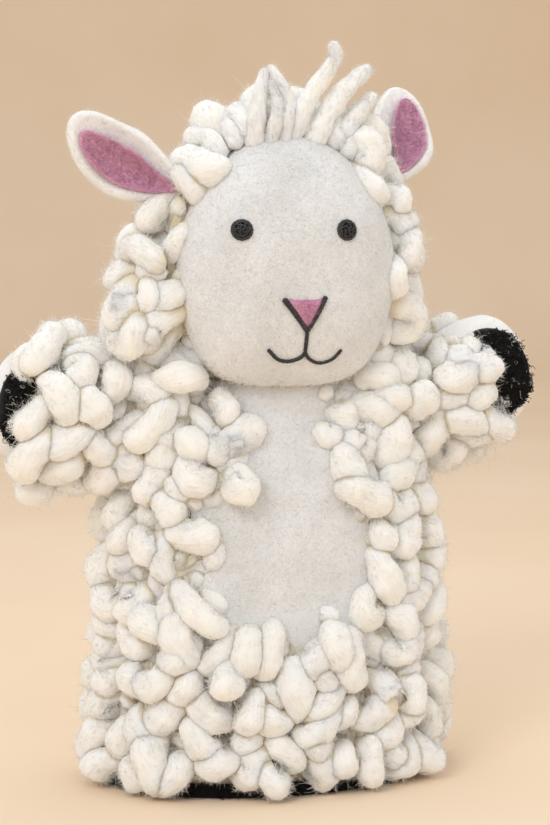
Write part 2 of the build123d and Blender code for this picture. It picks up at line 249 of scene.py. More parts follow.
def fibres(roots, outward, length, rng, bend=0.5, stray=0.25, radius=0.045, rings=4):
    """Fine hairs that leave their roots outward and curl, as tubes() gives them."""
    count = len(roots)
    heading = unit(outward + 0.35 * rng.normal(size=(count, 3)))
    curl = rng.normal(size=(count, 3)) * bend
    step = (length / (rings - 1))[:, None]
    paths = np.empty((count, rings, 3))
    paths[:, 0] = roots
    for i in range(1, rings):
        heading = unit(heading + curl + stray * rng.normal(size=(count, 3)))
        paths[:, i] = paths[:, i - 1] + heading * step
    taper = np.linspace(1.0, 0.35, rings)[None, :] * np.full((count, 1), radius)
    return tubes(paths, taper, 3, rng)


def spikes(roots, outward, length, rng, bend=0.5, radius=0.07):
    """Short hairs that taper to a point, with one bend each, in far fewer faces than fibres()."""
    count = len(roots)
    heading = unit(outward + 0.4 * rng.normal(size=(count, 3)))
    turned = unit(heading + rng.normal(size=(count, 3)) * bend)
    half = length[:, None] / 2
    bends = roots + heading * half
    tips = bends + turned * half
    side = any_side(heading)
    other = np.cross(heading, side)
    angle = (np.arange(3) * 2 * pi / 3)[None, :, None]
    around = np.cos(angle) * side[:, None] + np.sin(angle) * other[:, None]
    rings = [roots[:, None] + radius * around, bends[:, None] + 0.8 * radius * around, tips[:, None]]
    points = np.concatenate(rings, axis=1)
    quads = np.array([[0, 1, 4, 3], [1, 2, 5, 4], [2, 0, 3, 5]])
    triangles = np.array([[2, 1, 0], [3, 4, 6], [4, 5, 6], [5, 3, 6]])
    along = np.repeat(rng.uniform(0, YARN_RUN, (count, 1)), 7, axis=1) + np.array([0, 0, 0, 3, 3, 3, 6])
    wool_map = np.stack([0 * along, 0 * along, along], axis=-1)
    return points.reshape(-1, 3), repeated(quads, triangles, count, 7), wool_map.reshape(-1, 3)


def closed_sheet(front, back):
    """Two equal grids of points, sewn together round their edges, as (points, [quads])."""
    rows, columns, _ = front.shape
    points = np.concatenate([front.reshape(-1, 3), back.reshape(-1, 3)])
    at = np.arange(rows * columns).reshape(rows, columns)
    quads = grid_quads(rows, columns)
    other = quads[:, ::-1] + rows * columns
    edge = np.concatenate([at[0, :-1], at[:-1, -1], at[-1, :0:-1], at[:0:-1, 0]])
    following = np.roll(edge, -1)
    rim = np.stack([following, edge, edge + rows * columns, following + rows * columns], axis=1)
    return points, [quads, other, rim]


def closed_shell(outer, inner):
    """Outer and inner grids of points whose columns go round, sewn at their first and last rows."""
    rows, columns, _ = outer.shape
    points = np.concatenate([outer.reshape(-1, 3), inner.reshape(-1, 3)])
    at = np.arange(rows * columns).reshape(rows, columns)
    after = np.roll(at, -1, axis=1)
    quads = grid_quads(rows, columns, around=True)
    other = quads[:, ::-1] + rows * columns
    low = np.stack([after[0], at[0], at[0] + rows * columns, after[0] + rows * columns], axis=1)
    high = np.stack([at[-1], after[-1], after[-1] + rows * columns, at[-1] + rows * columns], axis=1)
    return points, [quads, other, low, high]


# ================================================================ finding the felt under the wool
RAY_START = 200.0
RING_STEP = 3.0  # between the rings of places that loops may stand on
NUDGES = np.array([(0, 0, 0), (0, 0.5, 0.5), (0, -0.5, -0.5), (0.5, 0, -0.5), (-0.5, 0, 0.5)])


class Felt:
    """The surfaces of some CAD nodes, for rays to land on; a ray may slip past a seam, and is nudged."""

    def __init__(self, *names):
        verts, polygons = [], []
        for name in names:
            mesh = frame["nodes"][name].data
            start = len(verts)
            verts += [vertex.co / MM for vertex in mesh.vertices]
            polygons += [[start + corner for corner in face.vertices] for face in mesh.polygons]
        self.tree = BVHTree.FromPolygons(verts, polygons)

    def land(self, origins, directions):
        """Where rays land: points, normals that face back along the ray, and which rays landed."""
        points, normals, landed = [], [], []
        for origin, direction in zip(origins, directions):
            for nudge in NUDGES:
                place, normal, _, _ = self.tree.ray_cast((origin + nudge).tolist(), direction.tolist())
                if place is not None:
                    break
            if place is not None:
                flip = -1 if normal.dot(direction.tolist()) > 0 else 1
                points.append(list(place))
                normals.append(list(normal * flip))
            landed.append(place is not None)
        return np.array(points).reshape(-1, 3), np.array(normals).reshape(-1, 3), np.array(landed)

    def near_side(self, center, out):
        """Rows of places and normals where rays in to a center land before they pass it."""
        points, normals, landed = self.land(center + out * RAY_START, -out)
        near = dot(points - center, out[landed])[:, 0] > 0
        return np.concatenate([points, normals], axis=1)[near]


def scattered(points, spacing, rng):
    """Indices of points picked at random, none of them closer than spacing to another."""
    chosen = []
    for index in rng.permutation(len(points)):
        near = points[chosen] - points[index]
        if not len(chosen) or np.min(np.sum(near**2, axis=1)) > spacing**2:
            chosen.append(index)
    return np.array(chosen)


def thinned(every, spacing, rng):
    """Places and normals picked from rows of both, no two places closer than spacing."""
    every = every[scattered(every[:, :3], spacing, rng)]
    return every[:, :3], every[:, 3:]


# ================================================================ materials
class Finish:
    """A Principled material and the nodes that feed it."""

    def __init__(self, name, **inputs):
        self.material = bpy.data.materials.new(name)
        self.material.use_nodes = True
        self.tree = self.material.node_tree
        self.shader = self.tree.nodes["Principled BSDF"]
        for key, value in inputs.items():
            self.shader.inputs[key.replace("_", " ")].default_value = value

    def attribute(self, name):
        return self.add("ShaderNodeAttribute", attribute_name=name).outputs

    def drawn_out(self, vector, share):
        """A place on the yarn, with its length shrunk to a share, so that a texture runs along it."""
        return self.add("ShaderNodeMapping", {"Vector": vector}, Scale=(1.0, 1.0, share)).outputs["Vector"]

    def add(self, kind, links=None, **settings):
        """A node with its settings, and links from its inputs to other nodes' outputs."""
        node = self.tree.nodes.new(kind)
        for key, value in settings.items():
            if key in node.inputs:
                node.inputs[key].default_value = value
            else:
                setattr(node, key, value)
        for key, output in (links or {}).items():
            self.tree.links.new(node.inputs[key], output)
        return node

    def feed(self, socket, output):
        self.tree.links.new(self.shader.inputs[socket], output)

    def noise(self, vector, scale, detail=4.0, distortion=0.0):
        values = {"Scale": scale, "Detail": detail, "Distortion": distortion}
        return self.add("ShaderNodeTexNoise", {"Vector": vector}, **values).outputs["Fac"]

    def ramp(self, factor, stops):
        """Colour ramp from (position, colour) stops."""
        node = self.add("ShaderNodeValToRGB", {"Fac": factor})
        for element, (position, color) in zip(node.color_ramp.elements, (stops[0], stops[-1])):
            element.position = position
            element.color = (*color, 1)
        for position, color in stops[1:-1]:
            node.color_ramp.elements.new(position).color = (*color, 1)
        return node.outputs["Color"]

    def mix(self, factor, first, second):
        """Second over first, by a factor; a tuple is a plain colour."""
        node = self.add("ShaderNodeMix", data_type="RGBA")
        for socket, value in ((node.inputs[0], factor), (node.inputs[6], first), (node.inputs[7], second)):
            if isinstance(value, float):
                socket.default_value = value
            elif isinstance(value, tuple):
                socket.default_value = (*value, 1)
            else:
                self.tree.links.new(socket, value)
        return node.outputs[2]

    def bump(self, height, strength, distance, normal=None):
        links = {"Height": height} if normal is None else {"Height": height, "Normal": normal}
        return self.add("ShaderNodeBump", links, Strength=strength, Distance=distance * MM).outputs["Normal"]


SOFT = {"Roughness": 0.92, "Specular_IOR_Level": 0.15}


def wool_finish(name, light, shade, deep, sheen=0.35, soft=0.0):
    """Roving: streaks and bumps along the fibres, and painted shade, a deeper tan colour, low down between
    the loops.
    """
    finish = Finish(
        name, Sheen_Weight=sheen, Sheen_Roughness=0.6, Sheen_Tint=(1.0, 0.98, 0.94, 1),
        Subsurface_Weight=soft, Subsurface_Radius=(1.0, 0.8, 0.55), Subsurface_Scale=4.5 * MM, **SOFT,
    )
    place = finish.attribute("fibre")["Vector"]
    lift = finish.attribute("lift")["Fac"]
    along = finish.drawn_out(place, 0.07)
    fine = finish.noise(along, 2.6, detail=5, distortion=0.4)
    coarse = finish.noise(along, 0.7, detail=3, distortion=0.6)
    broad = finish.noise(place, 0.05, detail=2)
    tone = finish.ramp(fine, [(0.3, shade), (0.62, light)])
    tone = finish.mix(0.35, tone, finish.ramp(broad, [(0.35, shade), (0.6, light)]))
    # painted shade: where lift is low, at the loops' roots and in their creases, the wool takes the deep tan
    # colour
    rise = finish.ramp(lift, [(0.0, (0, 0, 0)), (0.35, (1, 1, 1))])
    finish.feed("Base Color", finish.mix(rise, deep, tone))
    normal = finish.bump(coarse, 0.7, 0.9)
    finish.feed("Normal", finish.bump(fine, 0.65, 0.35, normal))
    return finish.material


def felt_finish(name, light, shade, streak=1.0, sheen=0.3):
    """Wool felt: matted fibres and soft mottling."""
    finish = Finish(
        name, Sheen_Weight=sheen, Sheen_Roughness=0.55,
        Subsurface_Weight=0.2, Subsurface_Radius=(1.0, 0.8, 0.6), Subsurface_Scale=2.0 * MM, **SOFT,
    )
    place = finish.add("ShaderNodeTexCoord").outputs["Object"]
    matted = finish.noise(place, 900 * streak, detail=6, distortion=1.8)
    tufts = finish.noise(place, 260, detail=4, distortion=0.8)
    cloud = finish.noise(place, 45, detail=3)
    tone = finish.ramp(matted, [(0.35, shade), (0.6, light)])
    tone = finish.mix(0.5, tone, finish.ramp(cloud, [(0.35, shade), (0.65, light)]))
    finish.feed("Base Color", tone)
    normal = finish.bump(tufts, 0.4, 0.6)
    finish.feed("Normal", finish.bump(matted, 0.6, 0.3, normal))
    return finish.material


def thread_finish(name, light, shade, roughness):
    """Twisted embroidery thread."""
    finish = Finish(name, Roughness=roughness, Specular_IOR_Level=0.5)
    strands = finish.noise(finish.drawn_out(finish.attribute("fibre")["Vector"], 0.25), 5.0, detail=3)
    finish.feed("Base Color", finish.ramp(strands, [(0.4, shade), (0.65, light)]))
    finish.feed("Normal", finish.bump(strands, 0.6, 0.15))
    return finish.material


WHITE = (0.97, 0.965, 0.95)
CREAM = (0.90, 0.88, 0.825)
# painted shade for the wool low down between the loops
SHADE_TAN = (0.74, 0.63, 0.43)
WOOL = wool_finish("roving_wool", WHITE, CREAM, SHADE_TAN, soft=0.5)
FUZZ = wool_finish("stray_wool", WHITE, CREAM, CREAM, sheen=0.1)
GAP_WOOL = wool_finish("matted_wool", (0.80, 0.71, 0.53), (0.66, 0.56, 0.38), SHADE_TAN, sheen=0.1)
WHITE_FELT = felt_finish("white_felt", (0.83, 0.845, 0.87), (0.63, 0.64, 0.645))
BRIGHT_FELT = felt_finish("bright_felt", (0.93, 0.93, 0.93), (0.78, 0.78, 0.775))
CREAM_FELT = felt_finish("cream_felt", (0.74, 0.66, 0.50), (0.60, 0.52, 0.37))
PINK_FELT = felt_finish("pink_felt", (0.72, 0.40, 0.53), (0.40, 0.14, 0.27), streak=0.7)
BLACK_FELT = felt_finish("black_felt", (0.022, 0.021, 0.023), (0.008, 0.008, 0.009), sheen=0.1)
PINK_FUZZ = wool_finish("pink_fuzz", (0.72, 0.42, 0.57), (0.52, 0.22, 0.38), (0.5, 0.2, 0.36), sheen=0.1)
BLACK_FUZZ = wool_finish(
    "black_fuzz", (0.03, 0.029, 0.03), (0.008, 0.008, 0.009), (0.006, 0.006, 0.006), sheen=0.0
)
BLACK_THREAD = thread_finish("black_thread", (0.035, 0.035, 0.04), (0.005, 0.005, 0.006), 0.38)
CREAM_THREAD = thread_finish("cream_thread", (0.74, 0.69, 0.60), (0.58, 0.52, 0.43), 0.8)

# ================================================================ camera, floor and light
CAMERA_DISTANCE = 0.70
CAMERA_AZIMUTH = radians(-14)
CAMERA_HEIGHT = 0.204
CAMERA_ASIDE = 0.0019
LENS = 80.5
SENSOR = 36.0
HORIZON_ABOVE_MIDDLE = 0.2073  # share of the picture's height


def add_camera():
    data = bpy.data.cameras.new("camera")
    data.sensor_fit = "VERTICAL"
    data.sensor_height = SENSOR
    data.lens = LENS
    camera = placed("camera", data)
    away = np.array([sin(CAMERA_AZIMUTH), -cos(CAMERA_AZIMUTH), 0])
    right = np.array([cos(CAMERA_AZIMUTH), sin(CAMERA_AZIMUTH), 0])
    camera.location = away * CAMERA_DISTANCE + right * CAMERA_ASIDE + [0, 0, CAMERA_HEIGHT]
    pitch = atan(HORIZON_ABOVE_MIDDLE * SENSOR / LENS)
    camera.rotation_euler = (pi / 2 - pitch, 0, CAMERA_AZIMUTH)
    bpy.context.scene.camera = camera


def add_floor():
    """Pale floor that sweeps up into a backdrop behind the puppet."""
    near, depth, bend, height, width = -4000.0, 2300.0, 500.0, 2600.0, 4200.0
    profile = [(near, 0.0)]
    profile += [(depth + bend * sin(a), bend * (1 - cos(a))) for a in np.linspace(0, pi / 2, 13)]
    profile += [(depth + bend, height)]
    x, y, z = np.array([(x, y, z) for y, z in profile for x in (-width, width)]).T
    turn = CAMERA_AZIMUTH
    turned = np.stack([x * cos(turn) - y * sin(turn), x * sin(turn) + y * cos(turn), z], axis=1)
    finish = Finish("pale_floor", Roughness=0.75, Specular_IOR_Level=0.2)
    place = finish.add("ShaderNodeTexCoord").outputs["Object"]
    cloud = finish.noise(place, 3.0, detail=3)
    finish.feed("Base Color", finish.ramp(cloud, [(0.3, (0.86, 0.68, 0.50)), (0.7, (0.90, 0.74, 0.57))]))
    floor = new_piece("floor", turned, [grid_quads(len(profile), 2)], finish.material)


def add_lights():
    def area(name, place, target, size, power, color):
        data = bpy.data.lights.new(name, "AREA")
        data.shape = "DISK"
        data.size = size
        data.energy = power
        data.color = color
        light = placed(name, data)
        light.location = place
        aim = np.array(target) - np.array(place)
        tilt = np.arccos(-aim[2] / np.linalg.norm(aim))
        light.rotation_euler = (tilt, 0, np.arctan2(aim[1], aim[0]) - pi / 2)

    # sizes in metres and powers in watts
    area("key", (-0.75, -0.85, 0.95), (0, 0, 0.14), 0.7, 6.0, (1.0, 0.995, 0.99))
    area("fill", (0.95, -0.75, 0.55), (0, 0, 0.14), 0.9, 1.6, (1.0, 1.0, 1.0))
    area("top", (0.1, 0.25, 1.1), (0, 0, 0.1), 0.8, 2.5, (1.0, 1.0, 1.0))
    world = bpy.data.worlds.new("world")
    bpy.context.scene.world = world
    world.use_nodes = True
    sky = world.node_tree.nodes["Background"].inputs
    sky["Color"].default_value = (1.0, 0.99, 0.975, 1)
    sky["Strength"].default_value = 0.74
    bpy.context.scene.view_settings.view_transform = "Standard"


add_camera()
add_floor()
add_lights()

# ================================================================ loops of roving
LOOP_RINGS = 30
LOOP_SIDES = 18
FILLER_RINGS = 12
FILLER_SIDES = 9
YARN_RADIUS = (4.9, 6.7)  # least and most, like the next two
LOOP_WIDTH = (7.0, 11.5)
LOOP_HEIGHT = (6.0, 10.5)
LOOP_LEAN = 2.6  # how far the tops of standing loops stray to a side
FLAT_LEAN = 10.0  # and of those that lie flat
FLAT_SHARE = 0.12  # of the loops lie flat
SUNK = 2.5  # how deep the loops' ends are in the felt


def loops(
    places, normals, rng, size=1.0, tall=1.0, lean=(0, 0, -2.5), floor=None, rings=LOOP_RINGS,
    sides=LOOP_SIDES,
):
    """Fat loops of roving that stand on places, as a (points, faces, wool map, lift) part.

    tall multiplies the height of each loop, and floor is the level that no loop sinks below."""
    count = len(places)
    side = any_side(normals)
    other = np.cross(normals, side)
    turn = rng.uniform(0, 2 * pi, (count, 1))
    across = np.cos(turn) * side + np.sin(turn) * other
    beside = np.cross(normals, across)

    yarn = rng.uniform(*YARN_RADIUS, (count, 1)) * size
    width = rng.uniform(*LOOP_WIDTH, (count, 1)) * size
    height = rng.uniform(*LOOP_HEIGHT, (count, 1)) * size * np.reshape(tall, (-1, 1))
    tip = rng.normal(size=(count, 1)) * LOOP_LEAN * size
    flat = rng.uniform(size=(count, 1)) < FLAT_SHARE
    tip = np.where(flat, np.sign(tip) * FLAT_LEAN * size, tip)
    height = np.where(flat, height * 0.5, height)
    yarn = np.where(flat, yarn * 0.85, yarn)

    t = np.linspace(0, 1, rings)[None, :]
    arch = np.sin(pi * t)
    swell = 1 + 0.5 * arch
    sideways = -np.cos(pi * t) * width / 2 * swell + rng.normal(size=(count, 1)) * 1.6 * np.sin(2 * pi * t)
    upward = arch**0.7 * height - SUNK
    over = arch**1.6 * tip + rng.normal(size=(count, 1)) * 1.4 * np.sin(2 * pi * t)
    paths = (
        places[:, None]
        + sideways[..., None] * across[:, None]
        + upward[..., None] * normals[:, None]
        + over[..., None] * beside[:, None]
        + (arch**1.5)[..., None] * np.array(lean)
    )
    phase = t * rng.uniform(0.8, 2.2, (count, 1)) + rng.uniform(0, 1, (count, 1))
    slub = 1 + 0.10 * np.sin(2 * pi * phase)
    radii = yarn * (0.42 + 0.58 * arch**0.4) * slub
    if floor is not None:
        paths[..., 2] += np.maximum(0, floor - np.min(paths[..., 2] - radii, axis=1, keepdims=True))
    points, faces, wool_map = tubes(paths, radii, sides, rng, lobes=0.03, twist=0.06, rough=0.10)
    # lift for painted shade: low at each loop's ends and where it crowds another loop, so the finish makes it
    # tan there
    profile = np.concatenate([np.repeat(arch[0] ** 1.2, sides), [0.0, 0.0]])
    return points, faces, wool_map, np.tile(profile, count) * (1 - crease_shade(points, paths, radii))


def crease_shade(points, paths, radii, reach=2.1, neighbourhood=26.0):
    """How near each point of some tubes is to another tube: 0 beyond reach, in mm, and 0.9 inside it."""
    # this nearness lowers the wool's lift, for painted shade in the creases
    count = len(paths)
    skins = points.reshape(count, -1, 3)
    middles = paths.mean(axis=1)
    near_share = np.zeros(skins.shape[:2])
    for index in range(count):
        apart = np.linalg.norm(middles - middles[index], axis=1)
        near = np.flatnonzero((apart < neighbourhood) & (apart > 0))
        if len(near):
            centers = paths[near][:, ::2].reshape(-1, 3)
            gaps = np.linalg.norm(skins[index][:, None] - centers[None], axis=2) - radii[near][:, ::2].ravel()
            near_share[index] = np.clip(1 - gaps.min(axis=1) / reach, 0, 0.9)
    return near_share.ravel()


FUZZ_FROM = 0.35  # the least lift of wool that fuzz grows on


def fuzz_on(part, count, rng, length, radius, bend=0.45, fine=False):
    """Stray fibres from the upper surface of loops or strands that tubes() made; fine ones are spikes."""
    points, faces, _, lift = part
    quads = faces[0]
    high = np.flatnonzero(lift[quads[:, 0]] > FUZZ_FROM)
    chosen = rng.choice(high, size=count, replace=count > len(high))
    corners = points[quads[chosen]]
    out = unit(quad_normals(corners))
    roots = picked_on(corners, out, 0.3, rng)
    lengths = rng.uniform(*length, len(chosen)) * rng.uniform(0.4, 1.0, len(chosen))
    if not fine:
        return (*fibres(roots, out, lengths, rng, bend, radius=radius), 1.0)
    return (*spikes(roots, unit(lying_on(out, rng) + 0.95 * out), lengths, rng, bend, radius=radius), 1.0)


LOOP_SPACING = 8.8
SHORT_FUZZ = 370  # on each loop
LONG_FUZZ = 10
MATTED_CURLS = 22  # for each loop, in the gaps
SHADED_FILLER_LIFT = 0.75  # lower lift, so that low loops get painted shade, as they lie in the shade of the others
FLOOR_GAP = 0.1  # no fibre goes lower
LOOPS_PER_FUZZ = 50  # so that a piece of fuzz stays under 200,000 triangles


def kept_clear(places, normals, clear):
    """The places, with their normals, that clear doesn't rule out."""
    if clear is None:
        return places, normals
    allowed = ~clear(places)
    return places[allowed], normals[allowed]


def fleece(name, body, places, normals, seed, replaced=(), clear=None, **shape):
    """Looped fleece, low loops that fill the gaps between the others, and their stray fibres.

    They ride on a body; without a body, they go back unattached. No low loop stands where clear says."""
    rng = np.random.default_rng(seed)
    count = len(places)
    part = loops(places, normals, rng, **shape)
    low_shape = {**shape, "size": 0.86, "tall": 0.22, "rings": FILLER_RINGS, "sides": FILLER_SIDES}
    chosen = np.repeat(np.arange(count), 2)
    out = normals[chosen]
    aside = unit(rng.normal(size=(len(chosen), 3))) * LOOP_SPACING * 0.6
    allowed, out = kept_clear(places[chosen] + aside - dot(aside, out) * out, out, clear)
    filler = loops(allowed, out, rng, **low_shape)
    parts = [part, (*filler[:3], filler[3] * SHADED_FILLER_LIFT)]
    pieces = [yarn_piece(f"fleece_{name}", parts, WOOL, body, replaced)]

    groups = -(-count // LOOPS_PER_FUZZ)
    for group in range(groups):
        share = count / groups
        short = fuzz_on(part, int(SHORT_FUZZ * share), rng, length=(2.0, 5.5), radius=0.08, fine=True)
        long = fuzz_on(part, int(LONG_FUZZ * share), rng, length=(6.0, 13.0), radius=0.07, bend=0.35)
        ending = f"_{group + 1}" if groups > 1 else ""
        pieces.append(
            yarn_piece(f"fuzz_{name}{ending}", [short, long], FUZZ, body, lowest=FLOOR_GAP)
        )

    chosen = rng.integers(0, count, MATTED_CURLS * count)
    spread = rng.normal(size=(len(chosen), 3)) * 5.0
    out = normals[chosen]
    gaps = places[chosen] + spread - dot(spread, out) * out + out * rng.uniform(2, 6, (len(chosen), 1))
    gaps, out = kept_clear(gaps, out, clear)
    lengths = rng.uniform(3, 6.5, len(gaps))
    curls = fibres(gaps, out, lengths, rng, bend=1.1, stray=0.5, radius=0.085, rings=6)
    parts = [(*curls, 0.35)]
    pieces.append(yarn_piece(f"matted_{name}", parts, GAP_WOOL, body, lowest=FLOOR_GAP))
    return pieces


# ================================================================ glove fleece
glove_felt = Felt(
    "cuff_front_panel", "cuff_back_panel", "waist_sleeve", "torso_front_panel", "torso_back_panel"
)
TUMMY_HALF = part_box("tummy_panel")[1][0] / MM
CHEST_HALF = 19.0  # of the bare felt's width, above the tummy
CHEST_FROM = 110.0
WAIST_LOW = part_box("waist_sleeve")[0].z / MM
WAIST_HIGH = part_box("waist_sleeve")[1].z / MM
FLEECE_FROM = 9.0
FLEECE_TO = 151.0
SHOULDER_LINE = 130.0  # loops lean up above it


def glove_places(seed):
    """Loop places all over the glove, without the bare tummy."""
    rng = np.random.default_rng(seed)
    out = level(np.radians(np.arange(0, 360, 3.5)))
    heights = np.arange(FLEECE_FROM, FLEECE_TO, RING_STEP)
    every = np.concatenate([glove_felt.near_side(np.array([0, 0, height]), out) for height in heights])
    x, y, z = every[:, 0], every[:, 1], every[:, 2]
    bare_half = np.interp(z, [CHEST_FROM - 8, CHEST_FROM + 8], [TUMMY_HALF - 1, CHEST_HALF])
    every = every[(y > 0) | (np.abs(x) > bare_half) | (z < WAIST_LOW + 1)]
    rise = np.clip((every[:, 2] - SHOULDER_LINE) / 8, 0, 1)[:, None]
    every[:, 3:] = unit(every[:, 3:] + rise * [0, 0, 1.1])
    return thinned(every, LOOP_SPACING, rng)


def cut(places, normals, chosen):
    return places[chosen], normals[chosen]


places, normals = glove_places(11)
height = places[:, 2]
low, high = height < WAIST_LOW - 1, height > WAIST_HIGH + 1
front = places[:, 1] < 0
middle = ~front & (np.abs(places[:, 0]) < TUMMY_HALF)
left, right = ~middle & (places[:, 0] > 0), ~middle & (places[:, 0] < 0)
CUFF_SHAPE = {"floor": 1.2, "tall": 1.25}
fleece("cuff_front", "cuff", *cut(places, normals, low & front), 21, ["cuff_fleece_front"], **CUFF_SHAPE)
fleece("cuff_back", "cuff", *cut(places, normals, low & ~front), 22, ["cuff_fleece_back"], **CUFF_SHAPE)
for piece in fleece("waist", None, *cut(places, normals, ~low & ~high), 23):
    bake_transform(piece)
fleece("torso_back", "torso", *cut(places, normals, high & middle), 24, ["torso_fleece_back"])
fleece("torso_left", "torso", *cut(places, normals, high & left), 25, ["torso_fleece_left"])
fleece("torso_right", "torso", *cut(places, normals, high & right), 26, ["torso_fleece_right"])

COLLAR_RADII = np.array([31.0, 21.0, 0.0])
COLLAR_HEIGHT = 147.0
NAPE_RADII = np.array([30.0, 24.0, 0.0])
NAPE_HEIGHT = 161.0


def add_collar():
    """Loops round the top of the torso and the bottom of the head, without the front."""
    out = level(np.radians(np.arange(-38, 219, 14.0)))
    places = out * COLLAR_RADII + [0, 0, COLLAR_HEIGHT]
    fleece("collar", "torso", places, unit(out + [0, 0, 0.5]), 27, tall=0.7, lean=(0, 0, 0))
    out = level(np.radians(np.arange(8, 173, 22.0)))
    places = out * NAPE_RADII + [0, 0, NAPE_HEIGHT]
    fleece("nape", "head", places, unit(out - [0, 0, 0.2]), 28, tall=0.8, lean=(0, 0, -2.0))


add_collar()

# ================================================================ head fleece
face_low, face_high = box_mm("face_panel")
HEAD_MIDDLE = np.array([(face_low[0] + face_high[0]) / 2, face_high[1], (face_low[2] + face_high[2]) / 2])
FACE_HALF_WIDTH = (face_high[0] - face_low[0]) / 2
FACE_HALF_HEIGHT = (face_high[2] - face_low[2]) / 2
FACE_DEPTH = face_high[1] - face_low[1]
NECK = np.array(JOINTS["head_nod"]["pos_m"]) / MM
NECK_CLEAR = 26.0  # no loop stands nearer to the neck's middle
CROWN_RISE = 25.0  # the crown is what lies this far above the head's middle
BACK_HALF = 20.0  # of the width that isn't a side of the head
head_felt = Felt("face_panel", "head_back_panel")
EGG = 0.08  # how much narrower the brow is than the jaw
JAW = 0.4  # how square the jaw is


def face_outline(angles):
    """Rim of the face in x and z, about the head's middle; 90 degrees is the brow."""
    rise = np.sin(angles)
    run = np.cos(angles)
    lower = np.clip(-rise, 0, 1)
    power = 1 - JAW * lower**2 * (3 - 2 * lower)
    x = (FACE_HALF_WIDTH - 1.2) * np.sign(run) * np.abs(run) ** power * (1 - EGG * rise)
    return x, FACE_HALF_HEIGHT * rise


def rim_places(rng):
    """Loop places close along the face's rim, without the chin; the loops lean over the rim."""
    angles = np.linspace(0, 2 * pi, 240, endpoint=False)
    x, z = face_outline(angles)
    rim = np.stack([HEAD_MIDDLE[0] + x, np.full_like(x, HEAD_MIDDLE[1] + 3.5), HEAD_MIDDLE[2] + z], axis=1)
    out = unit(np.stack([x, np.full_like(x, -12.0), z], axis=1))
    keep = (z > -22) & ~((z > 30) & (np.abs(x) < 24))
    rim, out = rim[keep], out[keep]
    chosen = scattered(rim, LOOP_SPACING * 0.9, rng)
    return rim[chosen], out[chosen]


def head_places(seed):
    """Loop places all over the head behind the face's rim, without the chin and the neck."""
    rng = np.random.default_rng(seed)
    rings = []
    for polar in np.radians(np.arange(101, 180, 4)):
        around = np.radians(np.arange(0, 360, max(4, 4 / sin(polar))))
        out = np.stack(
            [np.cos(around) * sin(polar), np.full_like(around, -cos(polar)), np.sin(around) * sin(polar)],
            axis=1,
        )
        rings.append(head_felt.near_side(HEAD_MIDDLE, out))
    every = np.concatenate(rings)
    x, y, z = every[:, 0], every[:, 1], every[:, 2]
    chin = (z < HEAD_MIDDLE[2] - 24) & (np.abs(x) < 27) & (y < -10)
    neck = np.linalg.norm(every[:, :3] - NECK, axis=1) < NECK_CLEAR
    places, normals = thinned(every[~chin & ~neck], LOOP_SPACING, rng)
    rim, out = rim_places(rng)
    return np.concatenate([places, rim]), np.concatenate([normals, out])


def over_face(points):
    """Which points lie in front of the face."""
    x = (points[:, 0] - HEAD_MIDDLE[0]) / (FACE_HALF_WIDTH + 1)
    z = (points[:, 2] - HEAD_MIDDLE[2]) / (FACE_HALF_HEIGHT + 1)
    return (x**2 + z**2 < 1) & (points[:, 1] < HEAD_MIDDLE[1] + 5)


places, normals = head_places(31)
crown = places[:, 2] > HEAD_MIDDLE[2] + CROWN_RISE
HEAD_REGIONS = (
    ("crown", "crown_fleece", crown),
    ("left", "head_fleece_left", ~crown & (places[:, 0] > BACK_HALF)),
    ("right", "head_fleece_right", ~crown & (places[:, 0] < -BACK_HALF)),
    ("back", "head_fleece_back", ~crown & (np.abs(places[:, 0]) <= BACK_HALF)),
)
for index, (region, node, chosen) in enumerate(HEAD_REGIONS):
    spots, out = cut(places, normals, chosen)
    lower = np.clip((HEAD_MIDDLE[2] + 10 - spots[:, 2]) / 30, 0, 1)
    upper = np.clip((spots[:, 2] - HEAD_MIDDLE[2] - 28) / 12, 0, 1)
    tall = 1 + lower * np.where(spots[:, 0] < -BACK_HALF, 0.5, 0.2) + 0.9 * upper
    if region == "right":  # a second layer, where the wool stands out furthest
        rng = np.random.default_rng(47)
        layer = (np.abs(spots[:, 2] - HEAD_MIDDLE[2] + 14) < 26) & (out[:, 1] > -0.6)
        wide = 12 * lower[layer, None] * [-1.0, 0, 0]
        top_spots = spots[layer] + out[layer] * (4 + 2 * lower[layer, None]) + wide
        extra = scattered(top_spots, LOOP_SPACING, rng)
        spots = np.concatenate([spots, top_spots[extra]])
        out = np.concatenate([out, out[layer][extra]])
        tall = np.concatenate([tall, np.full(len(extra), 0.9)])
    fleece(
        f"head_{region}", "head", spots, out, 41 + index, [node], clear=over_face, size=1.08, tall=tall
    )

# ================================================================ arms
ARM_TIP = 65.0  # from the shoulder's joint, along the arm
SIDES = {"left": 1, "right": -1}
WOOL_TO = {"left": 36.0, "right": 44.0}  # how far out along the arm the loops go
PAD_COVERED_TO = {"left": 43.0, "right": 50.0}  # and those in front, over the hoof's edge


class Arm:
    """An arm's own frame: s runs out along the arm, forward is -Y, up is square to both."""

    def __init__(self, side):
        self.side = side
        self.root = np.array(JOINTS[f"arm_raise_{side}"]["pos_m"]) / MM
        low, high = box_mm(f"arm_fleece_{side}")
        middle = (low + high) / 2
        self.along = unit(np.array([middle[0] - self.root[0], 0, middle[2] - self.root[2]]))
        self.up = np.array([-self.along[2], 0, self.along[0]]) * SIDES[side]
        self.forward = np.array([0, -1.0, 0])
        self.felt = Felt(f"arm_front_panel_{side}", f"arm_back_panel_{side}")

    def directions(self, angles):
        """Directions square to the arm; angle 0 is forward and 90 degrees is up."""
        return np.cos(angles)[:, None] * self.forward + np.sin(angles)[:, None] * self.up

    def around(self, s, angles):
        """Where rays square to the arm land, at distance s along it."""
        out = self.directions(angles)
        points, normals, _ = self.felt.land(self.root + self.along * s + out * RAY_START, -out)
        return points, normals


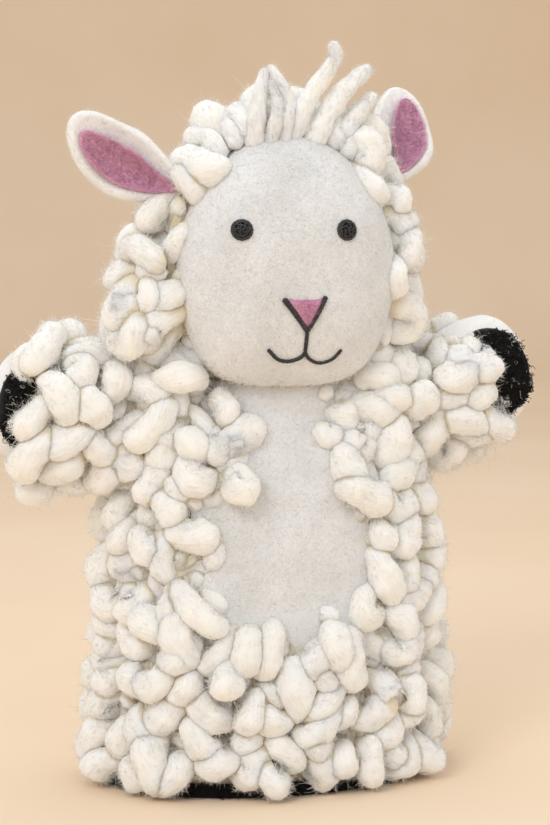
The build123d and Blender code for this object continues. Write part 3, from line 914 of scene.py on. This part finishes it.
def arm_places(arm, seed):
    """Loop places round the arm, further out in front, over the inner edge of the hoof pad."""
    rng = np.random.default_rng(seed)
    rings = []
    for s in np.arange(1.0, PAD_COVERED_TO[arm.side], RING_STEP):
        points, normals = arm.around(s, np.radians(np.arange(0, 360, 6)))
        if s > WOOL_TO[arm.side]:
            ahead = normals[:, 1] < -0.3
            points, normals = points[ahead], normals[ahead]
        rings.append(np.concatenate([points, normals], axis=1))
    every = np.concatenate(rings)
    return thinned(every, LOOP_SPACING * 0.95, rng)


for index, side in enumerate(SIDES):
    places, normals = arm_places(Arm(side), 51 + index)
    tall = 1 + 0.8 * np.clip(normals[:, 2], 0, 1)
    fleece(
        f"arm_{side}", f"arm_{side}", places, normals, 61 + index, [f"arm_fleece_{side}"], size=1.04,
        tall=tall, lean=(0, 0, -1.5),
    )


def shoulder_places(arm, seed):
    """Loop places on the gusset's ball, where it stands out of the torso."""
    rng = np.random.default_rng(seed)
    felt = Felt(f"shoulder_gusset_{arm.side}")
    out = arm.directions(np.radians(np.arange(0, 360, 8)))
    middles = [arm.root + arm.along * s for s in np.arange(-6.0, 12.0, RING_STEP)]
    every = np.concatenate([felt.near_side(middle, out) for middle in middles])
    every = every[(every[:, 2] < arm.root[2] + 16) & (every[:, 2] > arm.root[2] - 20)]
    return thinned(every, LOOP_SPACING, rng)


for index, side in enumerate(SIDES):
    places, normals = shoulder_places(Arm(side), 55 + index)
    tall = 1 + 0.9 * np.clip(normals[:, 2], 0, 1)
    fleece(f"shoulder_{side}", f"shoulder_{side}", places, normals, 65 + index, tall=tall, lean=(0, 0, -1.0))

# ================================================================ face
DOME = 2.25  # 2 is a ball, and more is flatter in the middle
POLE = 0.0005  # share of the face that the hole in its middle takes up
FACE_FELT = 2.6


def face_grid(inset, rings=48, columns=128):
    """Points of the domed face, from its middle to its rim, set inward by inset."""
    share = np.sin(np.linspace(0.0, 1.0, rings) * pi / 2)[:, None]
    share[0] = POLE
    angles = np.linspace(0, 2 * pi, columns, endpoint=False)
    x, z = face_outline(angles)
    length = np.hypot(x, z)
    shrink = (length - inset) / length
    depth = (FACE_DEPTH - inset) * (1 - share**DOME) ** 0.5
    points = HEAD_MIDDLE + np.stack([share * x * shrink, 0 * x - depth, share * z * shrink], axis=-1)
    points[..., 1] += 0.5 * waves(points, 26, np.random.default_rng(72)) * (1 - share**4)
    return points


def add_face():
    """Domed felt face. Returns its outer points and quads."""
    outer, inner = face_grid(0.0), face_grid(FACE_FELT)
    points, faces = closed_shell(outer[:, ::-1], inner[:, ::-1])
    new_piece("face_felt", points, faces, WHITE_FELT, body="head", replaced=["face_panel"])
    return outer.reshape(-1, 3), turned_over(grid_quads(*outer.shape[:2], around=True))


face_points, face_quads = add_face()
face_tree = BVHTree.FromPolygons(face_points.tolist(), face_quads.tolist())


def on_face(x, z, lift=0.0):
    """Point on the face straight behind (x, z), raised along the surface's normal."""
    place, normal, _, _ = face_tree.ray_cast((x, -RAY_START, z), (0, 1, 0))
    if normal.y > 0:
        normal.negate()
    return np.array(place + normal * lift)


def smooth_line(points, count):
    """Catmull-Rom line through points, with count points on it."""
    points = np.array(points, float)
    padded = np.concatenate([[2 * points[0] - points[1]], points, [2 * points[-1] - points[-2]]])
    spots = np.linspace(0, len(points) - 1 - 1e-9, count)
    i = spots.astype(int)
    t = (spots - i)[:, None]
    a, b, c, d = (padded[i + k] for k in range(4))
    return 0.5 * (2 * b + (c - a) * t + (2 * a - 5 * b + 4 * c - d) * t**2 + (3 * b - a - 3 * c + d) * t**3)


def even(path, radius):
    """A path and its radii, as tubes() takes them, for a thread of one radius."""
    return np.array(path)[None], np.full((1, len(path)), radius)


def face_thread(line, radius, count=60, lift=0.35):
    """Path and radii of a thread sewn along a line drawn on the face."""
    flat = smooth_line(line, count)
    return even([on_face(x, z, lift) for x, z in flat], radius)


def threads(name, lines, replaced, material=BLACK_THREAD, twist=1.6, sides=12):
    """Several threads on the head as one piece."""
    rng = np.random.default_rng(len(name))
    parts = [(*tubes(path, radii, sides, rng, lobes=0.14, twist=twist), 1.0) for path, radii in lines]
    yarn_piece(name, parts, material, "head", replaced)


def add_eye(side):
    """Woven wheel of thread: a coil wound inwards, with five bent spokes over it."""
    low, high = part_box(f"eye_{side}")
    center = np.array(low + high) / 2 / MM
    radius = (high.x - low.x) / 2 / MM
    thread, spoke_thread = 0.62, 0.34
    turns = np.linspace(0, 1, 110)
    swing = radius - thread - (radius - thread - 0.35) * np.clip(turns * 1.45 - 0.45, 0, 1)
    angle = turns * 2 * pi * 3.1
    rise = 0.35 + 1.1 * np.maximum(0.0, turns - 0.3)

    def on_wheel(r, a, lift):
        return on_face(center[0] + r * cos(a), center[2] + r * sin(a), lift)

    lines = [even([on_wheel(*place) for place in zip(swing, angle, rise)], thread)]
    for start in np.arange(5) * 2 * pi / 5 + (0.4 if side == "left" else 1.1):
        spoke = ((0.2, 2.0), (1.2, 1.9), (2.2, 1.45), (3.0, 0.9), (3.4, 0.4))
        path = smooth_line([on_wheel(r, start + 0.5 * r, lift) for r, lift in spoke], 14)
        lines.append(even(path, spoke_thread))
    threads(f"eye_{side}_wheel", lines, [f"eye_{side}"], twist=2.2)


for side in SIDES:
    add_eye(side)

nose_low, nose_high = box_mm("nose_patch")
NOSE_X = (nose_low[0] + nose_high[0]) / 2
NOSE_TOP = nose_high[2]
NOSE_HALF = (nose_high[0] - nose_low[0]) / 2 + 1.2
NOSE_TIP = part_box("nose_stitch")[0].z / MM + 0.8
NOSE_LEAN = 1.4  # how far the nose's top sits to one side of its tip
NOSE_LEFT = NOSE_X - NOSE_HALF - NOSE_LEAN
NOSE_RIGHT = NOSE_X + NOSE_HALF - NOSE_LEAN


def add_nose():
    """Needle-felted patch with a soft crowned surface and fibres that stray over its edges."""
    rows, columns = 22, 26
    front, back = np.empty((rows, columns, 3)), np.empty((rows, columns, 3))
    for i, down in enumerate(np.linspace(0, 1, rows)):
        half = NOSE_HALF * (1 - down) ** 0.9 + 0.25
        for j, share in enumerate(np.linspace(-1, 1, columns)):
            x = NOSE_X - NOSE_LEAN * (1 - down) + half * share
            z = NOSE_TOP + 0.6 - down * (NOSE_TOP - NOSE_TIP - 0.4) - 0.7 * (1 - down) * (1 - share**2)
            crown = (1 - share**4) * min(1, 6 * down + 0.15) * min(1, 5 * (1 - down) + 0.1)
            front[i, j] = on_face(x, z, 0.1 + 1.0 * crown)
            back[i, j] = on_face(x, z, -0.6)
    points, faces = closed_sheet(front[:, ::-1], back[:, ::-1])
    new_piece("nose_felt", points, faces, PINK_FELT, body="head", replaced=["nose_patch"])
    rng = np.random.default_rng(75)
    count = 420
    spots = front.reshape(-1, 3)[rng.integers(0, rows * columns, count)]
    out = np.tile([0.0, -0.5, 0.0], (count, 1)) + rng.normal(size=(count, 3)) * 0.7
    part = (*fibres(spots, unit(out), rng.uniform(0.8, 2.2, count), rng, bend=0.6, radius=0.05), 1.0)
    yarn_piece("nose_fibres", [part], PINK_FUZZ, "head")


add_nose()
mouth_low, mouth_high = box_mm("mouth_stitch")
MOUTH_X = (mouth_low[0] + mouth_high[0]) / 2
MOUTH_HALF = (mouth_high[0] - mouth_low[0]) / 2 - 0.6
MOUTH_Z = mouth_low[2] + 4.4
JOIN_X = NOSE_X + 0.35 * (MOUTH_X - NOSE_X)
JOIN = (JOIN_X, MOUTH_Z)


def on_mouth(*places):
    """Places on the mouth's line, from shares of its half width and heights over its join."""
    return [(MOUTH_X + share * MOUTH_HALF, MOUTH_Z + rise) for share, rise in places]


threads(
    "nose_thread",
    [
        face_thread([(NOSE_LEFT, NOSE_TOP + 0.2), (NOSE_X - 4.4, NOSE_TOP - 5.2), (NOSE_X, NOSE_TIP)], 1.0),
        face_thread([(NOSE_RIGHT, NOSE_TOP + 0.9), (NOSE_X + 3.4, NOSE_TOP - 5.0), (NOSE_X, NOSE_TIP)], 0.9),
    ],
    ["nose_stitch"],
)
threads(
    "mouth_thread",
    [
        face_thread([(NOSE_X, NOSE_TIP), (JOIN_X, (NOSE_TIP + MOUTH_Z) / 2), JOIN], 0.68),
        face_thread(
            [*on_mouth((-1, 1.2), (-0.72, -2.2), (-0.42, -3.1)), (JOIN_X - 1.6, MOUTH_Z - 1.9), JOIN], 0.68
        ),
        face_thread(
            [JOIN, (JOIN_X + 2.2, MOUTH_Z - 2.5), *on_mouth((0.45, -3.9), (0.78, -2.6), (1, 0.7))], 0.6
        ),
    ],
    ["mouth_stitch"],
)


def add_chin_stitches():
    """Whip stitches that close the face's lower rim."""
    lines = []
    for step, angle in enumerate(np.radians(np.arange(-128, -53, 5.2))):
        x, z = face_outline(np.array([angle]))
        wobble = 0.12 * sin(7.0 * step)
        start = HEAD_MIDDLE + [x[0] * 0.985, 0, z[0] * 0.985]
        above = on_face(start[0] + 0.3 + wobble, start[2], 0.1)
        below = HEAD_MIDDLE + [x[0] + wobble, 0.6, z[0] - 0.1]
        path = smooth_line([above + [0, 1.2, 0.3], above, (above + below) / 2 + [0, -0.5, -0.6], below], 16)
        lines.append(even(path, 0.3))
    threads("chin_thread", lines, ["chin_stitches"], CREAM_THREAD, twist=2.5, sides=8)


add_chin_stitches()


def felt_fuzz(
    name, points, quads, body, count, seed, material=FUZZ, length=(0.8, 2.6), rise=0.35,
    radius=0.05,
):
    """Short fibres that lie over a felt surface and show along its outline."""
    rng = np.random.default_rng(seed)
    corners = points[quads]
    normals = quad_normals(corners)
    area = np.linalg.norm(normals, axis=1)
    chosen = rng.choice(len(quads), size=count, p=area / area.sum())
    normals = unit(normals)[chosen]
    roots = picked_on(corners[chosen], normals, 0.1, rng)
    out = unit(lying_on(normals, rng) + normals * rise)
    lengths = rng.uniform(*length, count)
    yarn_piece(name, [(*spikes(roots, out, lengths, rng, 0.35, radius=radius), 1.0)], material, body)


FACE_FIBRES = 19000
felt_fuzz("face_fibres", face_points, face_quads, "head", FACE_FIBRES, 77)

# ================================================================ tummy
TUMMY_TOP = 153.0
TUMMY_FROM = 50.0
TUMMY_SIDE = TUMMY_HALF + 3.0
TUMMY_FELT = 1.4
TUMMY_FIBRES = 10000


def add_tummy():
    """Felt sheet over the glove's front, from under the chin to inside the lower fleece."""
    rows, columns = 72, 52
    heights = np.linspace(TUMMY_TOP, TUMMY_FROM, rows)
    torso_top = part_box("torso_front_panel")[1].z / MM - 0.8
    front = np.empty((rows, columns, 3))
    for i, height in enumerate(heights):
        xs = np.linspace(-TUMMY_SIDE, TUMMY_SIDE, columns)
        if height > CHEST_FROM:
            narrow = (height - CHEST_FROM) / (TUMMY_TOP - CHEST_FROM)
            xs = xs * (1 - 0.36 * narrow)
        level_with = np.full(columns, min(height, torso_top))
        origins = np.stack([xs, np.full(columns, -RAY_START), level_with], axis=1)
        points, _, landed = glove_felt.land(origins, np.tile([0.0, 1.0, 0.0], (columns, 1)))
        row = np.stack([xs, np.interp(xs, xs[landed], points[:, 1]), np.full(columns, height)], axis=1)
        row[:, 1] += max(0.0, height - torso_top) * 0.15
        front[i] = row
    front[..., 1] -= TUMMY_FELT + 0.5
    rng = np.random.default_rng(81)
    front[..., 1] -= 0.55 * waves(front, 30, rng) + 0.18 * waves(front, 9, rng)
    back = front + [0, TUMMY_FELT, 0]
    points, faces = closed_sheet(front, back)
    tummy = new_piece("tummy_felt", points, faces, WHITE_FELT)
    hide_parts("tummy_panel")
    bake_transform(tummy)
    quads, points = grid_quads(rows, columns), front.reshape(-1, 3)
    upper = quads[points[quads[:, 0], 2] > WAIST_HIGH]
    felt_fuzz("tummy_fibres", points, upper, "torso", TUMMY_FIBRES, 82)


add_tummy()


def add_waist():
    """Band of felt between the cuff and the torso."""
    out = level(np.radians(np.arange(0, 360, 4)))
    outer, inner = [], []
    for height in np.linspace(WAIST_LOW + 0.3, WAIST_HIGH - 0.3, 12):
        points, normals, _ = glove_felt.land(out * RAY_START + [0, 0, height], -out)
        outer.append(points + normals * 0.35)
        inner.append(points - normals * 3.4)
    points, faces = closed_shell(np.array(outer), np.array(inner))
    waist = new_piece("waist_felt", points, faces, CREAM_FELT)
    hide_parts("waist_sleeve")
    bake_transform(waist)


add_waist()


# ================================================================ ears
EAR_THICK = 4.6
EAR_FIBRES = 5000
LINING_FIBRES = 2600
RIM = 6.4  # how far the pink stays from the ear's outline
BEND = 4.5  # how far the ends curve away from the narrow side of the rim
PINK_TOWARDS = {"left": np.array([1.0, 0, 0]), "right": np.array([0, 0, -1.0])}  # its rim is narrower there


def ear_shape(angles, share, half_length, half_width):
    """Leaf outline of an ear: round at the tip, drawn in at the root. Angle 0 is the tip."""
    u = half_length * np.cos(angles)
    taper = 1 - 0.5 * np.clip(-np.cos(angles), 0, 1) ** 1.2 + 0.08 * np.cos(angles)
    v = half_width * np.sin(angles) * taper
    return u * share, v * share


def add_ear(side):
    """Thick felt cup with a needle-felted lining, in the CAD ear's place."""
    joint = JOINTS[f"ear_flop_{side}"]
    root = np.array(joint["pos_m"]) / MM
    verts = np.array([vertex.co for vertex in frame["nodes"][f"ear_{side}"].data.vertices]) / MM
    tip = verts[np.argmax(np.linalg.norm(verts - root, axis=1))]
    along = unit(tip - root)
    across = unit(np.array(joint["axis"]))
    back = unit(np.cross(across, along))
    half_length = np.linalg.norm(tip - root) / 2 + 1.0
    middle = (root + tip) / 2 - along * 0.5
    half_width = (np.abs((verts - middle) @ across)).max() + 0.5
    rng = np.random.default_rng(91 if side == "left" else 92)
    rim_side = across * np.sign(across @ PINK_TOWARDS[side])

    def grid(shrink, lift, cup, aside=0.0, rings=20, columns=72):
        share = np.linspace(0.02, 1, rings)[:, None]
        angles = np.linspace(0, 2 * pi, columns, endpoint=False)[None, :]
        u, v = ear_shape(angles, share, half_length - shrink, half_width - shrink)
        w = lift - cup * (1 - share**2) + 0 * angles
        curl = 2.2 * (u / half_length) ** 2
        points = middle + u[..., None] * along + v[..., None] * across
        points = points + (aside + BEND * (0.35 - (u / half_length) ** 2))[..., None] * rim_side
        points = points - (w + curl)[..., None] * back
        return points + 0.35 * waves(points, 14, rng)[..., None] * back

    def rounded(name, front, behind, material, node):
        """Front and back grids joined by a rounded rim, in a CAD node's place."""
        rim_front, rim_back = front[-1], behind[-1]
        out = unit((rim_front + rim_back) / 2 - middle)
        between = []
        for a in np.linspace(0, pi, 7)[1:-1]:
            bulge = sin(a) * 0.5 * np.linalg.norm(rim_front - rim_back, axis=1, keepdims=True)
            between.append((rim_front * (1 + cos(a)) + rim_back * (1 - cos(a))) / 2 + out * bulge)
        rows = np.concatenate([front, np.array(between), behind[::-1]])
        count, columns, _ = rows.shape
        points = np.concatenate([rows.reshape(-1, 3), [front[0].mean(axis=0)], [behind[0].mean(axis=0)]])
        quads = turned_over(grid_quads(count, columns, around=True))
        caps = fans(count * columns, count * columns + 1, count, columns)[:, [0, 2, 1]]
        if side == "left":
            quads, caps = quads[:, ::-1], caps[:, ::-1]
        new_piece(name, points, [quads, caps], material, body=f"ear_{side}", replaced=[node])
        return points, quads

    front = grid(EAR_THICK * 0.45, 1.2, 3.2)
    behind = grid(EAR_THICK * 0.45, -EAR_THICK + 1.2, 3.2)
    cup_points, cup_quads = rounded(
        f"ear_{side}_felt", front, behind, BRIGHT_FELT, f"ear_{side}"
    )
    lining_front = grid(RIM, 2.2, 2.6, aside=1.5)
    lining_behind = grid(RIM, 0.3, 2.6, aside=1.5)
    rounded(f"ear_{side}_lining", lining_front, lining_behind, PINK_FELT, f"ear_lining_{side}")
    quads = turned_over(grid_quads(*lining_front.shape[:2]))
    if side == "left":
        quads = quads[:, ::-1]
    felt_fuzz(
        f"ear_{side}_lining_fibres", lining_front.reshape(-1, 3), quads, f"ear_{side}", LINING_FIBRES, 94,
        PINK_FUZZ, length=(1.5, 4.0), rise=0.15, radius=0.045,
    )
    felt_fuzz(f"ear_{side}_fibres", cup_points, cup_quads, f"ear_{side}", EAR_FIBRES, 95)


for side in SIDES:
    add_ear(side)

# ================================================================ forelock and crown strands
def strand(points, thick, thin, rng, rings=44):
    """Path and radii of a strand that tapers, uneven along its length and round at its tip."""
    path = smooth_line(points, rings)
    t = np.linspace(0, 1, rings)
    radii = thick + (thin - thick) * t**1.1
    radii = radii * (1 + 0.05 * np.sin(2 * pi * (t * 3 + rng.uniform())))
    to_tip = (1 - t) * np.linalg.norm(np.diff(path, axis=0), axis=1).sum() / thin
    radii = np.where(to_tip < 1, radii * np.clip(to_tip * (2 - to_tip), 0.12, 1) ** 0.5, radii)
    return path[None], radii[None]


def add_strands(name, body, lines, seed, replaced=()):
    """Tapered strands of roving, each (points, thick radius, thin radius), as one piece."""
    rng = np.random.default_rng(seed)
    parts = []
    for points, thick, thin in lines:
        path, radii = strand(points, thick, thin, rng)
        made = tubes(path, radii, 20, rng, lobes=0.03, twist=0.1, rough=0.07)
        made = (*made, np.ones(len(made[0])))
        parts += [made, fuzz_on(made, 900, rng, length=(1.0, 4.0), radius=0.07, fine=True)]
    yarn_piece(name, parts, WOOL, body, replaced)


add_strands(
    "forelock", "forelock",
    [
        ([(-12, -27, 238), (-12.5, -30, 245), (-11, -29, 255), (-8, -26, 266)], 4.0, 2.3),
        ([(-3, -28, 238), (-1.5, -31, 246), (-1.5, -30, 256), (-7, -27, 267)], 4.1, 2.0),
        ([(-7, -30, 240), (-6, -33, 247), (-5, -31, 254), (-7, -28, 262)], 3.0, 1.8),
        (
            [(0, -28, 240), (3, -30, 248), (9, -29, 258), (15.5, -28, 267), (18, -28, 271), (16, -28, 276)],
            4.1, 1.9,
        ),
        ([(9, -27, 239), (14, -27, 249), (21, -25, 258), (28, -22, 264), (33, -20, 268)], 5.0, 2.3),
        ([(18, -26, 239), (24, -24, 247), (30, -21, 253), (36, -18, 258)], 4.6, 2.3),
    ],
    101, ["forelock_strands"],
)


def add_bangs():
    """Strands of roving sewn at the face's upper rim and laid back over the crown."""
    rng = np.random.default_rng(102)
    lines = []
    for angle in np.radians(np.arange(52, 126, 8.0)):
        points = []
        for polar, rise in ((86, 1.0), (91, 6.0), (98, 9.5), (107, 9.0), (116, 4.0)):
            turn = angle + radians(rng.normal() * 1.5)
            polar = radians(polar)
            out = np.array([cos(turn) * sin(polar), -cos(polar), sin(turn) * sin(polar)])
            land, normal, _ = head_felt.land([HEAD_MIDDLE + out * RAY_START], [-out])
            points.append(land[0] + normal[0] * rise)
        lines.append((points, rng.uniform(3.6, 4.8), rng.uniform(3.0, 4.2)))
    add_strands("crown_bangs", "head", lines, 103)


add_bangs()

# ================================================================ arms' felt and hooves
HOOF_CURLS = 2600
WHITE_STRAYS = 60  # wool fibres that cling to a hoof


def add_arm_felt(side, index):
    """White felt arm: a hollow pocket with a thick edge round its end."""
    arm = Arm(side)
    angles = np.radians(np.arange(0, 360, 5.0))
    near_tip = ARM_TIP - 7 * np.cos(np.linspace(0.2, 1, 8) * pi / 2)
    distances = np.concatenate([np.linspace(2, 58, 24), near_tip])
    rings = []
    for s in distances:
        points, _ = arm.around(min(s, ARM_TIP - 0.05), angles)
        if len(points) == len(angles):
            rings.append(points)
    rings = np.array(rings)
    axis_points = arm.root + ((rings - arm.root) @ arm.along)[..., None] * arm.along
    out = unit(rings - axis_points)
    seam = np.abs(np.sin(angles))[None, :, None] ** 14
    outer = rings + out * (0.25 + 1.3 * seam)
    inner = rings - out * 2.6
    tip = arm.root + arm.along * (ARM_TIP + 0.6)
    count, columns, _ = outer.shape
    points = np.concatenate([outer.reshape(-1, 3), inner.reshape(-1, 3), [tip], [tip - 3 * arm.along]])
    at = np.arange(count * columns).reshape(count, columns)
    after = np.roll(at, -1, axis=1)
    quads = grid_quads(count, columns, around=True)
    skin = count * columns  # how much later the inner grid's points come
    mouth = np.stack([after[0], at[0], at[0] + skin, after[0] + skin], axis=1)
    caps = np.concatenate(
        [
            np.stack([np.full(columns, 2 * skin), at[-1], after[-1]], axis=1),
            np.stack([np.full(columns, 2 * skin + 1), after[-1] + skin, at[-1] + skin], axis=1),
        ]
    )
    groups = [quads, quads[:, ::-1] + skin, mouth, caps]
    if side == "left":
        groups = [group[:, ::-1] for group in groups]
    new_piece(
        f"arm_{side}_felt", points, groups, BRIGHT_FELT, body=f"arm_{side}",
        replaced=[f"arm_front_panel_{side}", f"arm_back_panel_{side}"],
    )
    quads = groups[0]
    far = (points[quads[:, 0]] - arm.root) @ arm.along > 40
    felt_fuzz(f"arm_{side}_fibres", points, quads[far], f"arm_{side}", 1500, 111 + index, radius=0.03)
    add_hoof(arm, index)


def add_hoof(arm, index):
    """Black needle-felted pad on the front of the arm's end, under a mass of curly fibres."""
    rows, columns = 26, 30
    middle, half_s, half_up = 47.0, 15.2, 17.6
    front, back = np.empty((rows, columns, 3)), np.empty((rows, columns, 3))
    for i, share in enumerate(np.linspace(-0.999, 0.999, rows)):
        for j, across in enumerate(np.linspace(-0.999, 0.999, columns)):
            s = middle + half_s * share
            up = half_up * across * (1 - share**2) ** 0.5
            origin = arm.root + arm.along * s + arm.up * up + arm.forward * RAY_START
            points, normals, _ = arm.felt.land([origin], [-arm.forward])
            edge = (1 - share**2) * (1 - across**2)
            front[i, j] = points[0] + normals[0] * (0.5 + 1.5 * min(1, 5 * edge))
            back[i, j] = points[0] - normals[0] * 0.6
    points, faces = closed_sheet(front, back)
    if arm.side == "right":
        faces = [group[:, ::-1] for group in faces]
    new_piece(
        f"hoof_{arm.side}_felt", points, faces, BLACK_FELT, body=f"arm_{arm.side}",
        replaced=[f"hoof_pad_{arm.side}"],
    )

    rng = np.random.default_rng(121 + index)
    count, steps = HOOF_CURLS, 12
    inner = front[2:-3, 2:-2].reshape(-1, 3)
    spots = inner[rng.integers(0, len(inner), count)] + rng.normal(size=(count, 3)) * 0.5
    turns = np.linspace(0, 1, steps)[None, :] * rng.uniform(0.8, 1.9, (count, 1)) * 2 * pi
    reach = rng.uniform(0.4, 1.0, (count, 1))
    side = unit(rng.normal(size=(count, 3)))
    other = unit(np.cross(side, rng.normal(size=(count, 3))))
    drift = rng.normal(size=(count, 3)) * 0.9 + arm.forward * 0.6
    paths = (
        spots[:, None]
        + (reach * np.cos(turns))[..., None] * side[:, None]
        + (reach * np.sin(turns))[..., None] * other[:, None]
        + np.linspace(0, 1, steps)[None, :, None] * drift[:, None]
    )
    curls = (*tubes(paths, np.full((count, steps), 0.13), 3, rng), 1.0)
    yarn_piece(f"hoof_{arm.side}_curls", [curls], BLACK_FUZZ, f"arm_{arm.side}")
    white = paths[rng.choice(count, WHITE_STRAYS, replace=False)] + arm.forward * 0.6
    stray = (*tubes(white, np.full((WHITE_STRAYS, steps), 0.06), 3, rng), 1.0)
    yarn_piece(f"hoof_{arm.side}_white_fibres", [stray], FUZZ, f"arm_{arm.side}")


for index, side in enumerate(SIDES):
    add_arm_felt(side, index)


# ================================================================ hem, and felt that stays as the CAD made it
HEM_HEIGHTS = (1.0, 2.0, 3.2, 4.4)
HEM_HAIRS = 1800  # at each height


def dress(material, *names):
    """Give CAD nodes a material."""
    for name in names:
        materials = frame["nodes"][name].data.materials
        materials.clear()
        materials.append(material)


def add_hem():
    """Fibres that creep out of the dark band round the opening, under the fleece."""
    felt = Felt("hem_binding")
    out = level(np.radians(np.arange(0, 360, 1.5)))
    rng = np.random.default_rng(131)
    parts = []
    for height in HEM_HEIGHTS:
        points, normals, _ = felt.land(out * RAY_START + [0, 0, height], -out)
        keep = rng.integers(0, len(points), HEM_HAIRS)
        lying = normals[keep] * 0.8 + rng.normal(size=(HEM_HAIRS, 3)) * [0.8, 0.8, 0.25]
        lengths = rng.uniform(1.5, 6.0, HEM_HAIRS)
        parts.append((*spikes(points[keep], unit(lying), lengths, rng, 0.8, radius=0.09), 1.0))
    yarn_piece("hem_fibres", parts, BLACK_FUZZ, "cuff", lowest=FLOOR_GAP)


add_hem()
dress(BLACK_FELT, "hem_binding")
dress(
    CREAM_FELT, "cuff_front_panel", "cuff_back_panel", "torso_front_panel", "torso_back_panel",
    "neck_sleeve_lower", "neck_sleeve_upper", "head_finger_pocket", "head_back_panel",
    "shoulder_gusset_left", "shoulder_gusset_right", "head_stuffing",
)
dress(CREAM_THREAD, "cuff_seam_stitches", "torso_seam_stitches")
